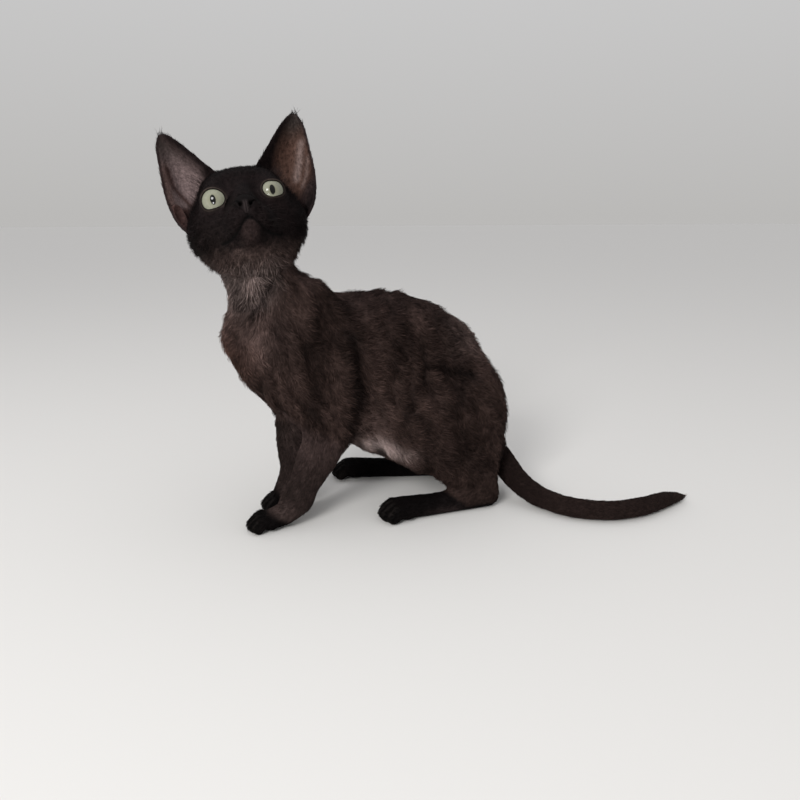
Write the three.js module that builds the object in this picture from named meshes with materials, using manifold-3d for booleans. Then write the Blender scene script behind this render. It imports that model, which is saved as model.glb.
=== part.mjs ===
// A devon rex kitten about eleven weeks old, life size, as a still museum model in millimetres.
// It squats on its hind feet with its forelegs straight, its head turned to its left and raised, and
// its tail laid on the floor. The trunk faces -X, +Y is the kitten's right side and +Z is up.
//
// The whole animal is one smooth field: a function that is negative inside the body. Bones and
// muscles are chains of round sections and ellipsoids that blend into each other. Each region of
// the field is turned into a mesh, thinned to a triangle budget, and parted from its neighbours by
// thin flat cuts, so that every named part is one closed solid.
import * as THREE from "three";
import { mergeVertices } from "three/addons/utils/BufferGeometryUtils.js";
import Module from "manifold-3d";

const wasm = await Module();
wasm.setup();

// Driving dimensions
const CUT = 0.3; // gap between two parts that touch
const SOLE = 0.7; // how far a round paw or tail is flattened where it rests
const EYE_RADIUS = 8;
const EYE_SPREAD = 13.2; // from the middle of the face to the middle of an eyeball
const LID = 1.3; // thickness of the eyelids
const CORNEA_RADIUS = 6;
const CORNEA_FORWARD = 2.7; // how far the cornea's centre lies in front of the eyeball's
const EAR_WALL = 2;
const EAR_GAP = 0.45; // from the root of an ear to the head it rises from
const TAIL_RADIUS = 6.2;
const TOE_RADIUS = 3.7;
const MOUTH_TOP = -13; // height of the upper lip below the nose, in the axes of the head
const MOUTH_DROP = 7.4; // how much lower the lip is at the corners of the mouth
const MOUTH_WIDTH = 5.6; // how far to the side the lip drops most steeply
const MOUTH_CORNER = 17.5; // how far forward the corners of the mouth lie
const TAIL_START = 56; // the tail lies behind this
const REACH = 400; // size of a cutting block that runs past the whole body

const UP = new THREE.Vector3(0, 0, 1);
const SIDEWAYS = new THREE.Vector3(0, 1, 0);
const at = (x, y, z) => new THREE.Vector3(x, y, z);

// Joints of the skeleton. Left is the side with negative Y.
const tailRoot = at(63, -1, 29);
const limbs = {
  left: {
    side: -1,
    blade: at(-53, -11, 128),
    shoulder: at(-79, -19, 96),
    elbow: at(-46, -22, 55),
    wrist: at(-66, -20, 15),
    forepaw: at(-83, -23, 5),
    hip: at(38, -17, 72),
    knee: at(3, -28, 43),
    hock: at(45, -30, 12),
    ball: at(-7, -32, 7),
  },
  right: {
    side: 1,
    blade: at(-53, 11, 128),
    shoulder: at(-79, 19, 96),
    elbow: at(-58.5, 18, 55),
    wrist: at(-63, 9, 15),
    forepaw: at(-71, 5, 4.6),
    hip: at(38, 17, 72),
    knee: at(0, 32, 43),
    hock: at(38, 30, 12),
    ball: at(-16.5, 46, 7),
  },
};

// The head has its own axes: forward to the nose, left, and up through the crown.
const HEAD_TURN = 7; // degrees from straight sideways towards the chest
const HEAD_RAISE = 15;
const HEAD_TILT = 9.2;
const headCentre = at(-86.3, -5.2, 173.8);
const forward = at(0, -1, 0)
  .applyAxisAngle(at(1, 0, 0), THREE.MathUtils.degToRad(-HEAD_RAISE))
  .applyAxisAngle(UP, THREE.MathUtils.degToRad(-HEAD_TURN));
const left = at(1, 0, 0)
  .applyAxisAngle(UP, THREE.MathUtils.degToRad(-HEAD_TURN))
  .applyAxisAngle(forward, THREE.MathUtils.degToRad(HEAD_TILT));
const crown = forward.clone().cross(left);
const headAxes = new THREE.Matrix4()
  .makeBasis(forward, left, crown)
  .setPosition(headCentre);
const inHead = (f, l, u) => at(f, l, u).applyMatrix4(headAxes);

// Smooth joining and carving of two distances; k is the width of the blend.
function join(a, b, k) {
  const h = Math.max(k - Math.abs(a - b), 0) / k;
  return Math.min(a, b) - (h * h * k) / 4;
}
const carve = (a, b, k) => -join(-a, b, k);

// A chain of round sections along a smooth curve. Each station is [x, y, z, radius, width], where
// width is the share by which the section is wider along `side` than across it.
function chain(stations, blend, side = SIDEWAYS, steps = 5) {
  const path = new THREE.CatmullRomCurve3(stations.map(([x, y, z]) => at(x, y, z)));
  const sizes = new THREE.CatmullRomCurve3(
    stations.map(([, , , r, width = 1]) => at(r, width, 0)),
  );
  const count = (stations.length - 1) * steps;
  const links = [];
  const box = new THREE.Box3();
  for (let i = 0; i < count; i++) {
    const a = path.getPoint(i / count);
    const b = path.getPoint((i + 1) / count);
    const sa = sizes.getPoint(i / count);
    const sb = sizes.getPoint((i + 1) / count);
    const d = b.clone().sub(a);
    links.push([a.x, a.y, a.z, d.x, d.y, d.z, 1 / d.lengthSq(), sa.x, sb.x - sa.x, sa.y, sb.y - sa.y]);
    for (const [p, s] of [[a, sa], [b, sb]]) {
      const size = 2 * s.x * Math.max(1, s.y);
      box.union(new THREE.Box3().setFromCenterAndSize(p, at(size, size, size)));
    }
  }
  const distance = (x, y, z) => {
    let nearest = Infinity;
    for (const [ax, ay, az, dx, dy, dz, inverse, r, dr, w, dw] of links) {
      let ox = x - ax;
      let oy = y - ay;
      let oz = z - az;
      const t = Math.min(1, Math.max(0, (ox * dx + oy * dy + oz * dz) * inverse));
      ox -= t * dx;
      oy -= t * dy;
      oz -= t * dz;
      const width = w + t * dw;
      const s = ox * side.x + oy * side.y + oz * side.z;
      const round = Math.sqrt(ox * ox + oy * oy + oz * oz - s * s + (s * s) / (width * width));
      nearest = Math.min(nearest, (round - r - t * dr) * Math.min(1, width));
    }
    return nearest;
  };
  return { distance, blend, box };
}

// An ellipsoid with its axes along those of its own frame.
function ball(x, y, z, rx, ry, rz, blend) {
  const distance = (px, py, pz) => {
    const a = (px - x) / rx;
    const b = (py - y) / ry;
    const c = (pz - z) / rz;
    const k0 = Math.hypot(a, b, c);
    const k1 = Math.hypot(a / rx, b / ry, c / rz);
    return k1 < 1e-6 ? -Math.min(rx, ry, rz) : (k0 * (k0 - 1)) / k1;
  };
  const box = new THREE.Box3(at(x - rx, y - ry, z - rz), at(x + rx, y + ry, z + rz));
  return { distance, blend, box };
}

// Joins shapes one after another. A shape whose box is too far away to matter is skipped.
function together(shapes) {
  return (x, y, z) => {
    let d = 60;
    for (const { distance, blend, box } of shapes) {
      const gx = Math.max(box.min.x - x, 0, x - box.max.x);
      const gy = Math.max(box.min.y - y, 0, y - box.max.y);
      const gz = Math.max(box.min.z - z, 0, z - box.max.z);
      if (gx * gx + gy * gy + gz * gz < (Math.max(d, 0) + blend) ** 2)
        d = join(d, distance(x, y, z), blend);
    }
    return d;
  };
}

const middle = (a, b, t = 0.5) => a.clone().lerp(b, t);
const station = (p, r, width = 1) => [p.x, p.y, p.z, r, width];

function trunkShapes() {
  const back = chain(
    [
      [-64, 0, 103, 32, 0.76],
      [-36, 0, 93, 36, 0.74],
      [-8, 0, 88, 42, 0.7],
      [16, 0, 80, 38.4, 0.74],
      [40, 0, 60, 21.5, 1.15],
    ],
    10,
  );
  const belly = chain(
    [
      [-44, 0, 74, 25, 0.96],
      [-14, 0, 60, 28, 0.98],
      [12, 0, 46, 27, 1],
      [34, 0, 40, 19, 1.2],
    ],
    12,
  );
  const breast = chain(
    [
      [-82, 0, 105, 18, 0.95],
      [-68, 0, 84, 20, 0.88],
    ],
    12,
  );
  const neck = chain(
    [
      [-69, 0, 112, 24, 0.92],
      [-76.5, 0, 130, 19.6, 1],
      [-81.5, 3, 146, 20.4, 1.02],
      [-84, 2, 158, 22.2, 1],
    ],
    12,
  );
  const seat = ball(52, 0, 42, 13, 21, 18, 10);
  return [back, belly, breast, neck, seat];
}

function forelegShapes({ side, blade, shoulder, elbow, wrist, forepaw }) {
  const bladeShape = chain(
    [station(blade, 9, 0.8), station(middle(blade, shoulder), 14, 0.72), station(shoulder, 14, 0.8)],
    12,
  );
  const upperArm = chain(
    [station(shoulder, 14, 0.85), station(middle(shoulder, elbow), 14.5, 0.72), station(elbow, 10.5, 0.85)],
    9,
  );
  const elbowPoint = ball(elbow.x + 7, elbow.y, elbow.z - 1, 7, 6, 7, 6);
  const forearm = chain(
    [
      station(elbow, 12, 0.8),
      station(middle(elbow, wrist, 0.35), 12, 0.8),
      station(middle(elbow, wrist, 0.75), 9.2, 0.86),
      station(wrist, 8.4, 0.96),
    ],
    6,
  );
  const hand = chain(
    [station(wrist, 8, 1), [wrist.x - 7, forepaw.y, 8.8, 6.8, 1.14], station(forepaw, 5.6, 1.35)],
    5,
  );
  return [bladeShape, upperArm, elbowPoint, forearm, hand, ...toes(forepaw, at(-1, 0.02 * side, 0), 1.04)];
}

function hindlegShapes({ side, hip, knee, hock, ball: sole }) {
  const thigh = chain(
    [
      [hip.x + 2, hip.y, hip.z - 8, 21, 0.66],
      station(middle(hip, knee, 0.55), 23.5, 0.64),
      station(knee, 15, 0.72),
    ],
    12,
  );
  const buttock = chain(
    [
      [hip.x + 4, hip.y - side * 2, hip.z - 12, 18, 0.78],
      [hip.x + 11, hip.y + side * 2, hip.z - 34, 13.5, 0.82],
      [hock.x + 1, hock.y - side * 3, hock.z + 9, 8.4, 0.8],
    ],
    9,
  );
  const shank = chain(
    [
      station(knee, 14, 0.8),
      station(middle(knee, hock, 0.35), 12.8, 0.76),
      station(middle(knee, hock, 0.68), 10.6, 0.76),
      station(hock, 7, 0.85),
    ],
    8,
  );
  const foot = chain(
    [
      [hock.x + 2, hock.y, 7, 7.4, 0.86],
      station(middle(hock, sole, 0.25).setZ(7), 7.4, 0.9),
      station(middle(hock, sole, 0.6).setZ(6), 6.6, 1.08),
      station(sole.clone().setZ(6.4), 6.8, 1.18),
    ],
    4,
  );
  const direction = sole.clone().sub(hock).setZ(0).normalize();
  return [thigh, buttock, shank, foot, ...toes(sole, direction, 1.18)];
}

// Four toes that fan out from the ball of a paw, the middle two longest.
function toes(palm, direction, scale) {
  const across = direction.clone().cross(UP);
  return [-1.5, -0.5, 0.5, 1.5].map((place) => {
    const length = (Math.abs(place) > 1 ? 7 : 9) * scale;
    const root = palm.clone().addScaledVector(across, place * 3.4 * scale);
    const knuckle = root.clone().addScaledVector(direction, length * 0.5).setZ(5.8 * scale);
    const tip = root
      .clone()
      .addScaledVector(direction, length)
      .addScaledVector(across, place * 0.8)
      .setZ(TOE_RADIUS * scale - SOLE);
    return chain(
      [
        [root.x, root.y, 4.5 * scale, TOE_RADIUS * scale, 1],
        station(knuckle, TOE_RADIUS * scale),
        station(tip, TOE_RADIUS * scale * 0.92),
      ],
      1.4,
    );
  });
}

// The tail's middle line: out of the rump, down to the floor, round to the left and back.
const tailLow = TAIL_RADIUS - SOLE;
const tailLine = [
  [tailRoot.x - 8, tailRoot.y, tailRoot.z + 6, 9.5],
  [tailRoot.x + 3, -8, 21, 8.4],
  [70, -28.5, 11.4, TAIL_RADIUS + 0.9],
  [77.5, -46, tailLow + 1, TAIL_RADIUS + 0.4],
  [89, -62.5, tailLow, TAIL_RADIUS + 0.2],
  [107, -72, tailLow, TAIL_RADIUS],
  [127, -72, tailLow, TAIL_RADIUS - 0.2],
  [146, -66, tailLow - 0.6, TAIL_RADIUS - 0.8],
  [160, -61.5, 3.4, 3.6],
  [165, -60, 2.6, 2],
];

// The head, in its own axes: f forward, l left, u up. An opening between the lids is a mean angle from
// the gaze, with a shift, a stretch and corners, each a size and the way that it points, in degrees.
const eyes = [
  { name: "left", side: 1, opening: [35.5, [0.3, -86], [7.5, -8], [1.2, 44]] },
  { name: "right", side: -1, opening: [39.9, [6.6, -110], [5.3, 2], [2.6, -34]] },
].map((eye) => {
  const centre = at(17, eye.side * EYE_SPREAD, 1.5);
  const gaze = at(0.93, eye.side * 0.34, 0.05).normalize();
  const across = at(0, -1, eye.side * 0.08).projectOnPlane(gaze).normalize();
  return { ...eye, centre, gaze, across, upper: across.clone().cross(gaze) };
});

// The upper lip's edge: highest below the nose, lower towards the corners of the mouth.
const mouthHeight = (l) => MOUTH_TOP - MOUTH_DROP * (1 - Math.exp(-((l / MOUTH_WIDTH) ** 2)));

function headField() {
  const both = (make) => [make(1), make(-1)];
  const solids = together([
    ball(-8, 0, 2.5, 24, 23.5, 19, 4),
    ball(2, 0, 2, 19, 21, 17, 8),
    ...both((s) => ball(-5, s * 9, 4, 19, 13, 16.5, 6)),
    ...both((s) => ball(-1, s * 16, -9, 18, 15.4, 14.5, 9)),
    ...both((s) => ball(-3, s * 11, -17, 15, 12, 10.6, 9)),
    ...both((s) => ball(11, s * 15.5, -8, 9, 8.5, 7, 8)),
    ...both((s) => ball(13, s * 9, 9, 8, 9, 6, 6)),
    chain([[10, 0, 8, 9, 1.1], [21, 0, 3, 6, 1.0], [31, 0, -3.6, 4.2, 1.15]], 6),
    chain([[8, 0, -10, 15, 1.15], [22, 0, -10.5, 9.5, 1.15], [29, 0, -11, 6.6, 1.25]], 6),
    ...both((s) => ball(26.2, s * 6.2, -13.4, 7.4, 6.2, 6.2, 6)),
    ball(33, 0, -6.6, 4.4, 5.4, 4, 2.5),
    chain([[0, 0, -19, 11, 1.5], [14, 0, -19.5, 8.5, 1.2], [25, 0, -19.4, 5.2, 1.1]], 6),
    ball(26.2, 0, -19.2, 5.2, 5.6, 5.4, 3),
    chain([[13.5, 0, -19, 7.5, 1.5], [-6, 0, -40, 9, 1.5]], 12),
    ...eyes.map(({ centre: c }) => ball(c.x, c.y, c.z, ...Array(3).fill(EYE_RADIUS + LID), 3)),
  ]);
  const hollows = [
    ...both((s) => ball(-3, s * 26, 4, 7, 7.5, 14, 4)),
    ...both((s) =>
      chain([[35.4, s * 2.3, -8.6, 1.1], [37.4, s * 3, -7.4, 1.5], [35.8, s * 5.2, -6.2, 0.7]], 0.8),
    ),
  ];
  return (f, l, u) => {
    let d = solids(f, l, u);
    for (const { distance, blend } of hollows) d = carve(d, distance(f, l, u), blend);
    if (f > MOUTH_CORNER) {
      const lips = Math.exp(-(((u - mouthHeight(l)) / 1.6) ** 2)) * Math.min(1, (f - MOUTH_CORNER) / 5);
      const split = Math.exp(-((l / 1.1) ** 2) - ((u + 11.3) / 1.8) ** 2);
      d += 0.7 * lips + 0.6 * split;
    }
    return d;
  };
}

const bodyDistance = together([
  ...trunkShapes(),
  ...Object.values(limbs).flatMap(forelegShapes),
  ...Object.values(limbs).flatMap(hindlegShapes),
  chain(tailLine, 5, UP, 5),
]);
const headDistance = headField();
const toHead = headAxes.clone().invert().elements;
function animal(x, y, z) {
  const body = bodyDistance(x, y, z);
  const e = toHead;
  const f = e[0] * x + e[4] * y + e[8] * z + e[12];
  const l = e[1] * x + e[5] * y + e[9] * z + e[13];
  const u = e[2] * x + e[6] * y + e[10] * z + e[14];
  if (Math.hypot(f, l, u) > 65) return body;
  return join(body, headDistance(f, l, u), 7);
}

// The surface where the field is zero, by marching tetrahedra on a cubic grid over a box. Blocks of
// the grid that lie well away from the surface are not looked into.
function surfaceOf(field, box, cell) {
  const size = box.getSize(at(0, 0, 0));
  const [nx, ny, nz] = size.toArray().map((s) => Math.ceil(s / cell) + 1);
  const values = new Float32Array(nx * ny * nz).fill(NaN);
  const index = (i, j, k) => (k * ny + j) * nx + i;
  const value = (i, j, k) => {
    const n = index(i, j, k);
    if (Number.isNaN(values[n])) {
      const wall = i === 0 || j === 0 || k === 0 || i === nx - 1 || j === ny - 1 || k === nz - 1;
      const d = field(box.min.x + i * cell, box.min.y + j * cell, box.min.z + k * cell);
      values[n] = (wall ? Math.max(d, cell / 2) : d) || 1e-6;
    }
    return values[n];
  };
  const points = [];
  const faces = [];
  const known = new Map();
  const total = nx * ny * nz;
  const crossing = (a, b) => {
    const key = Math.min(a.n, b.n) * total + Math.max(a.n, b.n);
    if (!known.has(key)) {
      const t = a.v / (a.v - b.v);
      known.set(key, points.length / 3);
      for (const [axis, low] of [["i", box.min.x], ["j", box.min.y], ["k", box.min.z]])
        points.push(low + cell * (a[axis] + t * (b[axis] - a[axis])));
    }
    return known.get(key);
  };
  const facing = (p, q, r, inside, outside) => {
    const at3 = (n) => [points[3 * n], points[3 * n + 1], points[3 * n + 2]];
    const [a, b, c] = [at3(p), at3(q), at3(r)];
    const [ux, uy, uz] = [b[0] - a[0], b[1] - a[1], b[2] - a[2]];
    const [vx, vy, vz] = [c[0] - a[0], c[1] - a[1], c[2] - a[2]];
    const out = [outside.i - inside.i, outside.j - inside.j, outside.k - inside.k];
    const normal = [uy * vz - uz * vy, uz * vx - ux * vz, ux * vy - uy * vx];
    const turn = normal[0] * out[0] + normal[1] * out[1] + normal[2] * out[2];
    faces.push(...(turn > 0 ? [p, q, r] : [p, r, q]));
  };
  const tetrahedra = [[1, 3], [3, 2], [2, 6], [6, 4], [4, 5], [5, 1]].map(([a, b]) => [0, a, b, 7]);
  const BLOCK = 6;
  const reach = cell * BLOCK * 0.87 * 1.35;
  for (let bk = 0; bk < nz - 1; bk += BLOCK)
    for (let bj = 0; bj < ny - 1; bj += BLOCK)
      for (let bi = 0; bi < nx - 1; bi += BLOCK) {
        const half = BLOCK / 2;
        const centre = [bi, bj, bk].map((n, axis) => box.min.getComponent(axis) + (n + half) * cell);
        const edge = [bi, bj, bk].some((n, axis) => n === 0 || n + BLOCK >= [nx, ny, nz][axis] - 1);
        if (Math.abs(field(...centre)) > reach && !(edge && field(...centre) < 0)) continue;
        for (let k = bk; k < Math.min(bk + BLOCK, nz - 1); k++)
          for (let j = bj; j < Math.min(bj + BLOCK, ny - 1); j++)
            for (let i = bi; i < Math.min(bi + BLOCK, nx - 1); i++) {
              const corners = [0, 1, 2, 3, 4, 5, 6, 7].map((n) => {
                const c = { i: i + (n & 1), j: j + ((n >> 1) & 1), k: k + (n >> 2) };
                c.n = index(c.i, c.j, c.k);
                c.v = value(c.i, c.j, c.k);
                return c;
              });
              if (corners.every((c) => c.v > 0) || corners.every((c) => c.v < 0)) continue;
              for (const tetrahedron of tetrahedra) {
                const inside = tetrahedron.map((n) => corners[n]).filter((c) => c.v < 0);
                const outside = tetrahedron.map((n) => corners[n]).filter((c) => c.v > 0);
                if (inside.length === 1)
                  facing(...outside.map((o) => crossing(inside[0], o)), inside[0], outside[0]);
                else if (inside.length === 3)
                  facing(...inside.map((o) => crossing(o, outside[0])), inside[0], outside[0]);
                else if (inside.length === 2) {
                  const [a, b] = inside;
                  const [c, d] = outside;
                  facing(crossing(a, c), crossing(a, d), crossing(b, d), a, c);
                  facing(crossing(a, c), crossing(b, d), crossing(b, c), b, d);
                }
              }
            }
      }
  return { points, faces };
}

// A binary heap of items with a cost, cheapest first.
function heapPush(heap, item) {
  let n = heap.push(item) - 1;
  while (n > 0 && heap[(n - 1) >> 1].cost > heap[n].cost) {
    const up = (n - 1) >> 1;
    [heap[n], heap[up]] = [heap[up], heap[n]];
    n = up;
  }
}
function heapPop(heap) {
  const top = heap[0];
  const last = heap.pop();
  if (heap.length) {
    heap[0] = last;
    for (let n = 0; ; ) {
      let low = n;
      for (const child of [2 * n + 1, 2 * n + 2])
        if (child < heap.length && heap[child].cost < heap[low].cost) low = child;
      if (low === n) break;
      [heap[n], heap[low]] = [heap[low], heap[n]];
      n = low;
    }
  }
  return top;
}

// Merges the ends of edges until `target` triangles are left. An edge costs the squared distance of
// its merged point to the planes that met there, so flat stretches go first and ridges stay.
function thinned({ points, faces }, target) {
  const vertexCount = points.length / 3;
  const quadrics = new Float64Array(vertexCount * 10);
  const around = Array.from({ length: vertexCount }, () => []);
  const stamp = new Int32Array(vertexCount);
  const alive = new Uint8Array(faces.length / 3).fill(1);
  const point = (v) => [points[3 * v], points[3 * v + 1], points[3 * v + 2]];
  const normalOf = (a, b, c) => {
    const [ux, uy, uz] = [b[0] - a[0], b[1] - a[1], b[2] - a[2]];
    const [vx, vy, vz] = [c[0] - a[0], c[1] - a[1], c[2] - a[2]];
    return [uy * vz - uz * vy, uz * vx - ux * vz, ux * vy - uy * vx];
  };
  for (let face = 0; face < faces.length / 3; face++) {
    const corners = [0, 1, 2].map((n) => faces[3 * face + n]);
    const normal = normalOf(...corners.map(point));
    const length = Math.hypot(...normal) || 1;
    const [a, b, c] = normal.map((n) => n / length);
    const p = point(corners[0]);
    const d = -(a * p[0] + b * p[1] + c * p[2]);
    const plane = [a * a, a * b, a * c, a * d, b * b, b * c, b * d, c * c, c * d, d * d];
    for (const v of corners) {
      around[v].push(face);
      plane.forEach((term, n) => (quadrics[10 * v + n] += term * length));
    }
  }
  const edge = (a, b) => {
    const q = new Float64Array(10);
    for (let n = 0; n < 10; n++) q[n] = quadrics[10 * a + n] + quadrics[10 * b + n];
    const weight = 0.003 * (q[0] + q[4] + q[7]) + 1e-9;
    const [m0, m1, m2] = [0, 1, 2].map((n) => (points[3 * a + n] + points[3 * b + n]) / 2);
    const [xx, xy, xz, yy, yz, zz] = [q[0] + weight, q[1], q[2], q[4] + weight, q[5], q[7] + weight];
    const [bx, by, bz] = [weight * m0 - q[3], weight * m1 - q[6], weight * m2 - q[8]];
    const cx = yy * zz - yz * yz;
    const cy = xz * yz - xy * zz;
    const cz = xy * yz - xz * yy;
    const det = xx * cx + xy * cy + xz * cz;
    const x = (cx * bx + cy * by + cz * bz) / det;
    const y = (cy * bx + (xx * zz - xz * xz) * by + (xy * xz - xx * yz) * bz) / det;
    const z = (cz * bx + (xy * xz - xx * yz) * by + (xx * yy - xy * xy) * bz) / det;
    const cost =
      q[0] * x * x + 2 * q[1] * x * y + 2 * q[2] * x * z + 2 * q[3] * x + q[4] * y * y +
      2 * q[5] * y * z + 2 * q[6] * y + q[7] * z * z + 2 * q[8] * z + q[9] +
      weight * ((x - m0) ** 2 + (y - m1) ** 2 + (z - m2) ** 2);
    return { cost, a, b, at: [x, y, z], stamps: stamp[a] + stamp[b] };
  };
  const neighbours = (v) => {
    const found = new Set();
    for (const face of around[v])
      for (let n = 0; n < 3; n++) if (faces[3 * face + n] !== v) found.add(faces[3 * face + n]);
    return found;
  };
  const heap = [];
  for (let v = 0; v < vertexCount; v++)
    for (const w of neighbours(v)) if (w > v) heapPush(heap, edge(v, w));
  let left = faces.length / 3;
  while (left > target && heap.length) {
    const { a, b, at: merged, stamps } = heapPop(heap);
    if (stamp[a] < 0 || stamp[b] < 0 || stamps !== stamp[a] + stamp[b]) continue;
    const nearA = neighbours(a);
    if (!nearA.has(b)) continue;
    const shared = [...neighbours(b)].filter((v) => nearA.has(v));
    if (shared.length !== 2) continue;
    const touched = [...around[a], ...around[b]];
    const turns = touched.some((face) => {
      const corners = [0, 1, 2].map((n) => faces[3 * face + n]);
      if (corners.includes(a) && corners.includes(b)) return false;
      const before = normalOf(...corners.map(point));
      const after = normalOf(...corners.map((v) => (v === a || v === b ? merged : point(v))));
      const dot = before[0] * after[0] + before[1] * after[1] + before[2] * after[2];
      return dot < 0.25 * Math.hypot(...before) * Math.hypot(...after);
    });
    if (turns) continue;
    merged.forEach((c, n) => (points[3 * a + n] = c));
    for (let n = 0; n < 10; n++) quadrics[10 * a + n] += quadrics[10 * b + n];
    for (const face of around[b]) {
      const corners = [0, 1, 2].map((n) => faces[3 * face + n]);
      if (corners.includes(a)) {
        alive[face] = 0;
        left--;
        for (const v of corners) if (v !== b) around[v] = around[v].filter((other) => other !== face);
      } else {
        faces[3 * face + corners.indexOf(b)] = a;
        around[a].push(face);
      }
    }
    around[b] = [];
    stamp[b] = -1;
    stamp[a] += 1;
    for (const v of neighbours(a)) heapPush(heap, edge(Math.min(a, v), Math.max(a, v)));
  }
  const kept = [];
  for (let face = 0; face < alive.length; face++)
    if (alive[face]) kept.push(faces[3 * face], faces[3 * face + 1], faces[3 * face + 2]);
  return { points, faces: kept };
}

// Solids. A solid is cut or joined by the boolean library; every shape comes from the code above or
// from a three.js geometry.
function solidFromMesh({ points, faces }) {
  const used = new Map();
  const vertProperties = [];
  const triVerts = faces.map((v) => {
    if (!used.has(v)) {
      used.set(v, vertProperties.length / 3);
      vertProperties.push(points[3 * v], points[3 * v + 1], points[3 * v + 2]);
    }
    return used.get(v);
  });
  return new wasm.Manifold(
    new wasm.Mesh({
      numProp: 3,
      vertProperties: new Float32Array(vertProperties),
      triVerts: new Uint32Array(triVerts),
    }),
  );
}
function solidFromGeometry(geometry, matrix = new THREE.Matrix4()) {
  const bare = geometry.clone().applyMatrix4(matrix);
  bare.deleteAttribute("normal");
  bare.deleteAttribute("uv");
  const merged = mergeVertices(bare, 1e-3);
  return solidFromMesh({
    points: [...merged.attributes.position.array],
    faces: [...merged.index.array],
  });
}
const largest = (solid) =>
  solid.decompose().reduce((a, b) => (a.volume() >= b.volume() ? a : b));

// The region of the animal in a box, meshed at a cell size and thinned to a triangle budget.
function region(low, high, cell, triangles, grow = 0) {
  const box = new THREE.Box3(low, high);
  const field = (x, y, z) => animal(x, y, z) - grow;
  return largest(solidFromMesh(thinned(surfaceOf(field, box, cell), triangles)));
}

// Everything on the side of a plane that its normal points to, set back by a share of the cut.
function beyond(point, normal, back = CUT / 2) {
  const n = normal.clone().normalize();
  const matrix = new THREE.Matrix4().compose(
    point.clone().addScaledVector(n, REACH / 2 + back),
    new THREE.Quaternion().setFromUnitVectors(UP, n),
    at(1, 1, 1),
  );
  return solidFromGeometry(new THREE.BoxGeometry(REACH, REACH, REACH), matrix);
}

// A box that starts at a plane and runs along its normal, with half sizes across it.
function block(point, normal, length, halfWide, halfDeep, across, grow = 0) {
  const n = normal.clone().normalize();
  const wide = across.clone().addScaledVector(n, -across.dot(n)).normalize();
  const matrix = new THREE.Matrix4().makeBasis(wide, n.clone().cross(wide), n);
  matrix.setPosition(point.clone().addScaledVector(n, length / 2));
  const geometry = new THREE.BoxGeometry(
    2 * (halfWide + grow),
    2 * (halfDeep + grow),
    length + 2 * grow,
  );
  return solidFromGeometry(geometry, matrix);
}

// A rounded plug with an elliptical outline in the plane of the trunk, from `inner` outwards.
function sidePlug(side, x, z, rx, rz, turn, inner, grow = 0) {
  const outline = new THREE.Shape();
  outline.absellipse(0, 0, rx + grow, rz + grow, 0, 2 * Math.PI, false, turn);
  const geometry = new THREE.ExtrudeGeometry(outline, {
    depth: 80,
    bevelEnabled: false,
    curveSegments: 18,
  });
  const out = new THREE.Matrix4().makeBasis(at(-side, 0, 0), at(0, 0, 1), at(0, side, 0));
  out.setPosition(x, side * (inner - grow), z);
  return solidFromGeometry(geometry, out);
}

const material = (color, roughness) =>
  new THREE.MeshStandardMaterial({ color, roughness, metalness: 0 });
const coat = material("#2e2724", 0.9);
const darkCoat = material("#14100f", 0.9);
const earSkin = material("#4f3c36", 0.75);
const noseSkin = material("#1c1413", 0.5);
const iris = material("#a9b48c", 0.15);

const kitten = new THREE.Group();
function part(name, solid, look) {
  const mesh = largest(solid).getMesh();
  const geometry = new THREE.BufferGeometry();
  geometry.setAttribute("position", new THREE.BufferAttribute(mesh.vertProperties, 3));
  geometry.setIndex(new THREE.BufferAttribute(mesh.triVerts, 1));
  geometry.computeVertexNormals();
  const made = new THREE.Mesh(geometry, look);
  made.name = name;
  kitten.add(made);
}

const aboveFloor = beyond(at(0, 0, 0), UP, 0);

// Planes that part the trunk, with normals towards the head.
const neckCut = { point: at(-76, 0, 124), normal: at(-0.5, 0, 0.87) };
const headCut = { point: at(-84, 2, 148), normal: at(-0.12, -0.2, 0.97) };
const chestCut = { point: at(-30, 0, 90), normal: at(-1, 0, 0.15) };
const rumpCut = { point: at(26, 0, 80), normal: at(-0.86, 0, 0.35) };
const tailCut = { point: at(65, -5, 26), normal: at(-0.6, 0.6, 0.7) };
const towards = ({ point, normal }) => beyond(point, normal);
const away = ({ point, normal }) => beyond(point, normal.clone().negate());
const tailSpace = (back) =>
  beyond(at(TAIL_START, 0, 0), at(1, 0, 0), back).intersect(
    beyond(tailCut.point, tailCut.normal.clone().negate(), back),
  );

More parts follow.
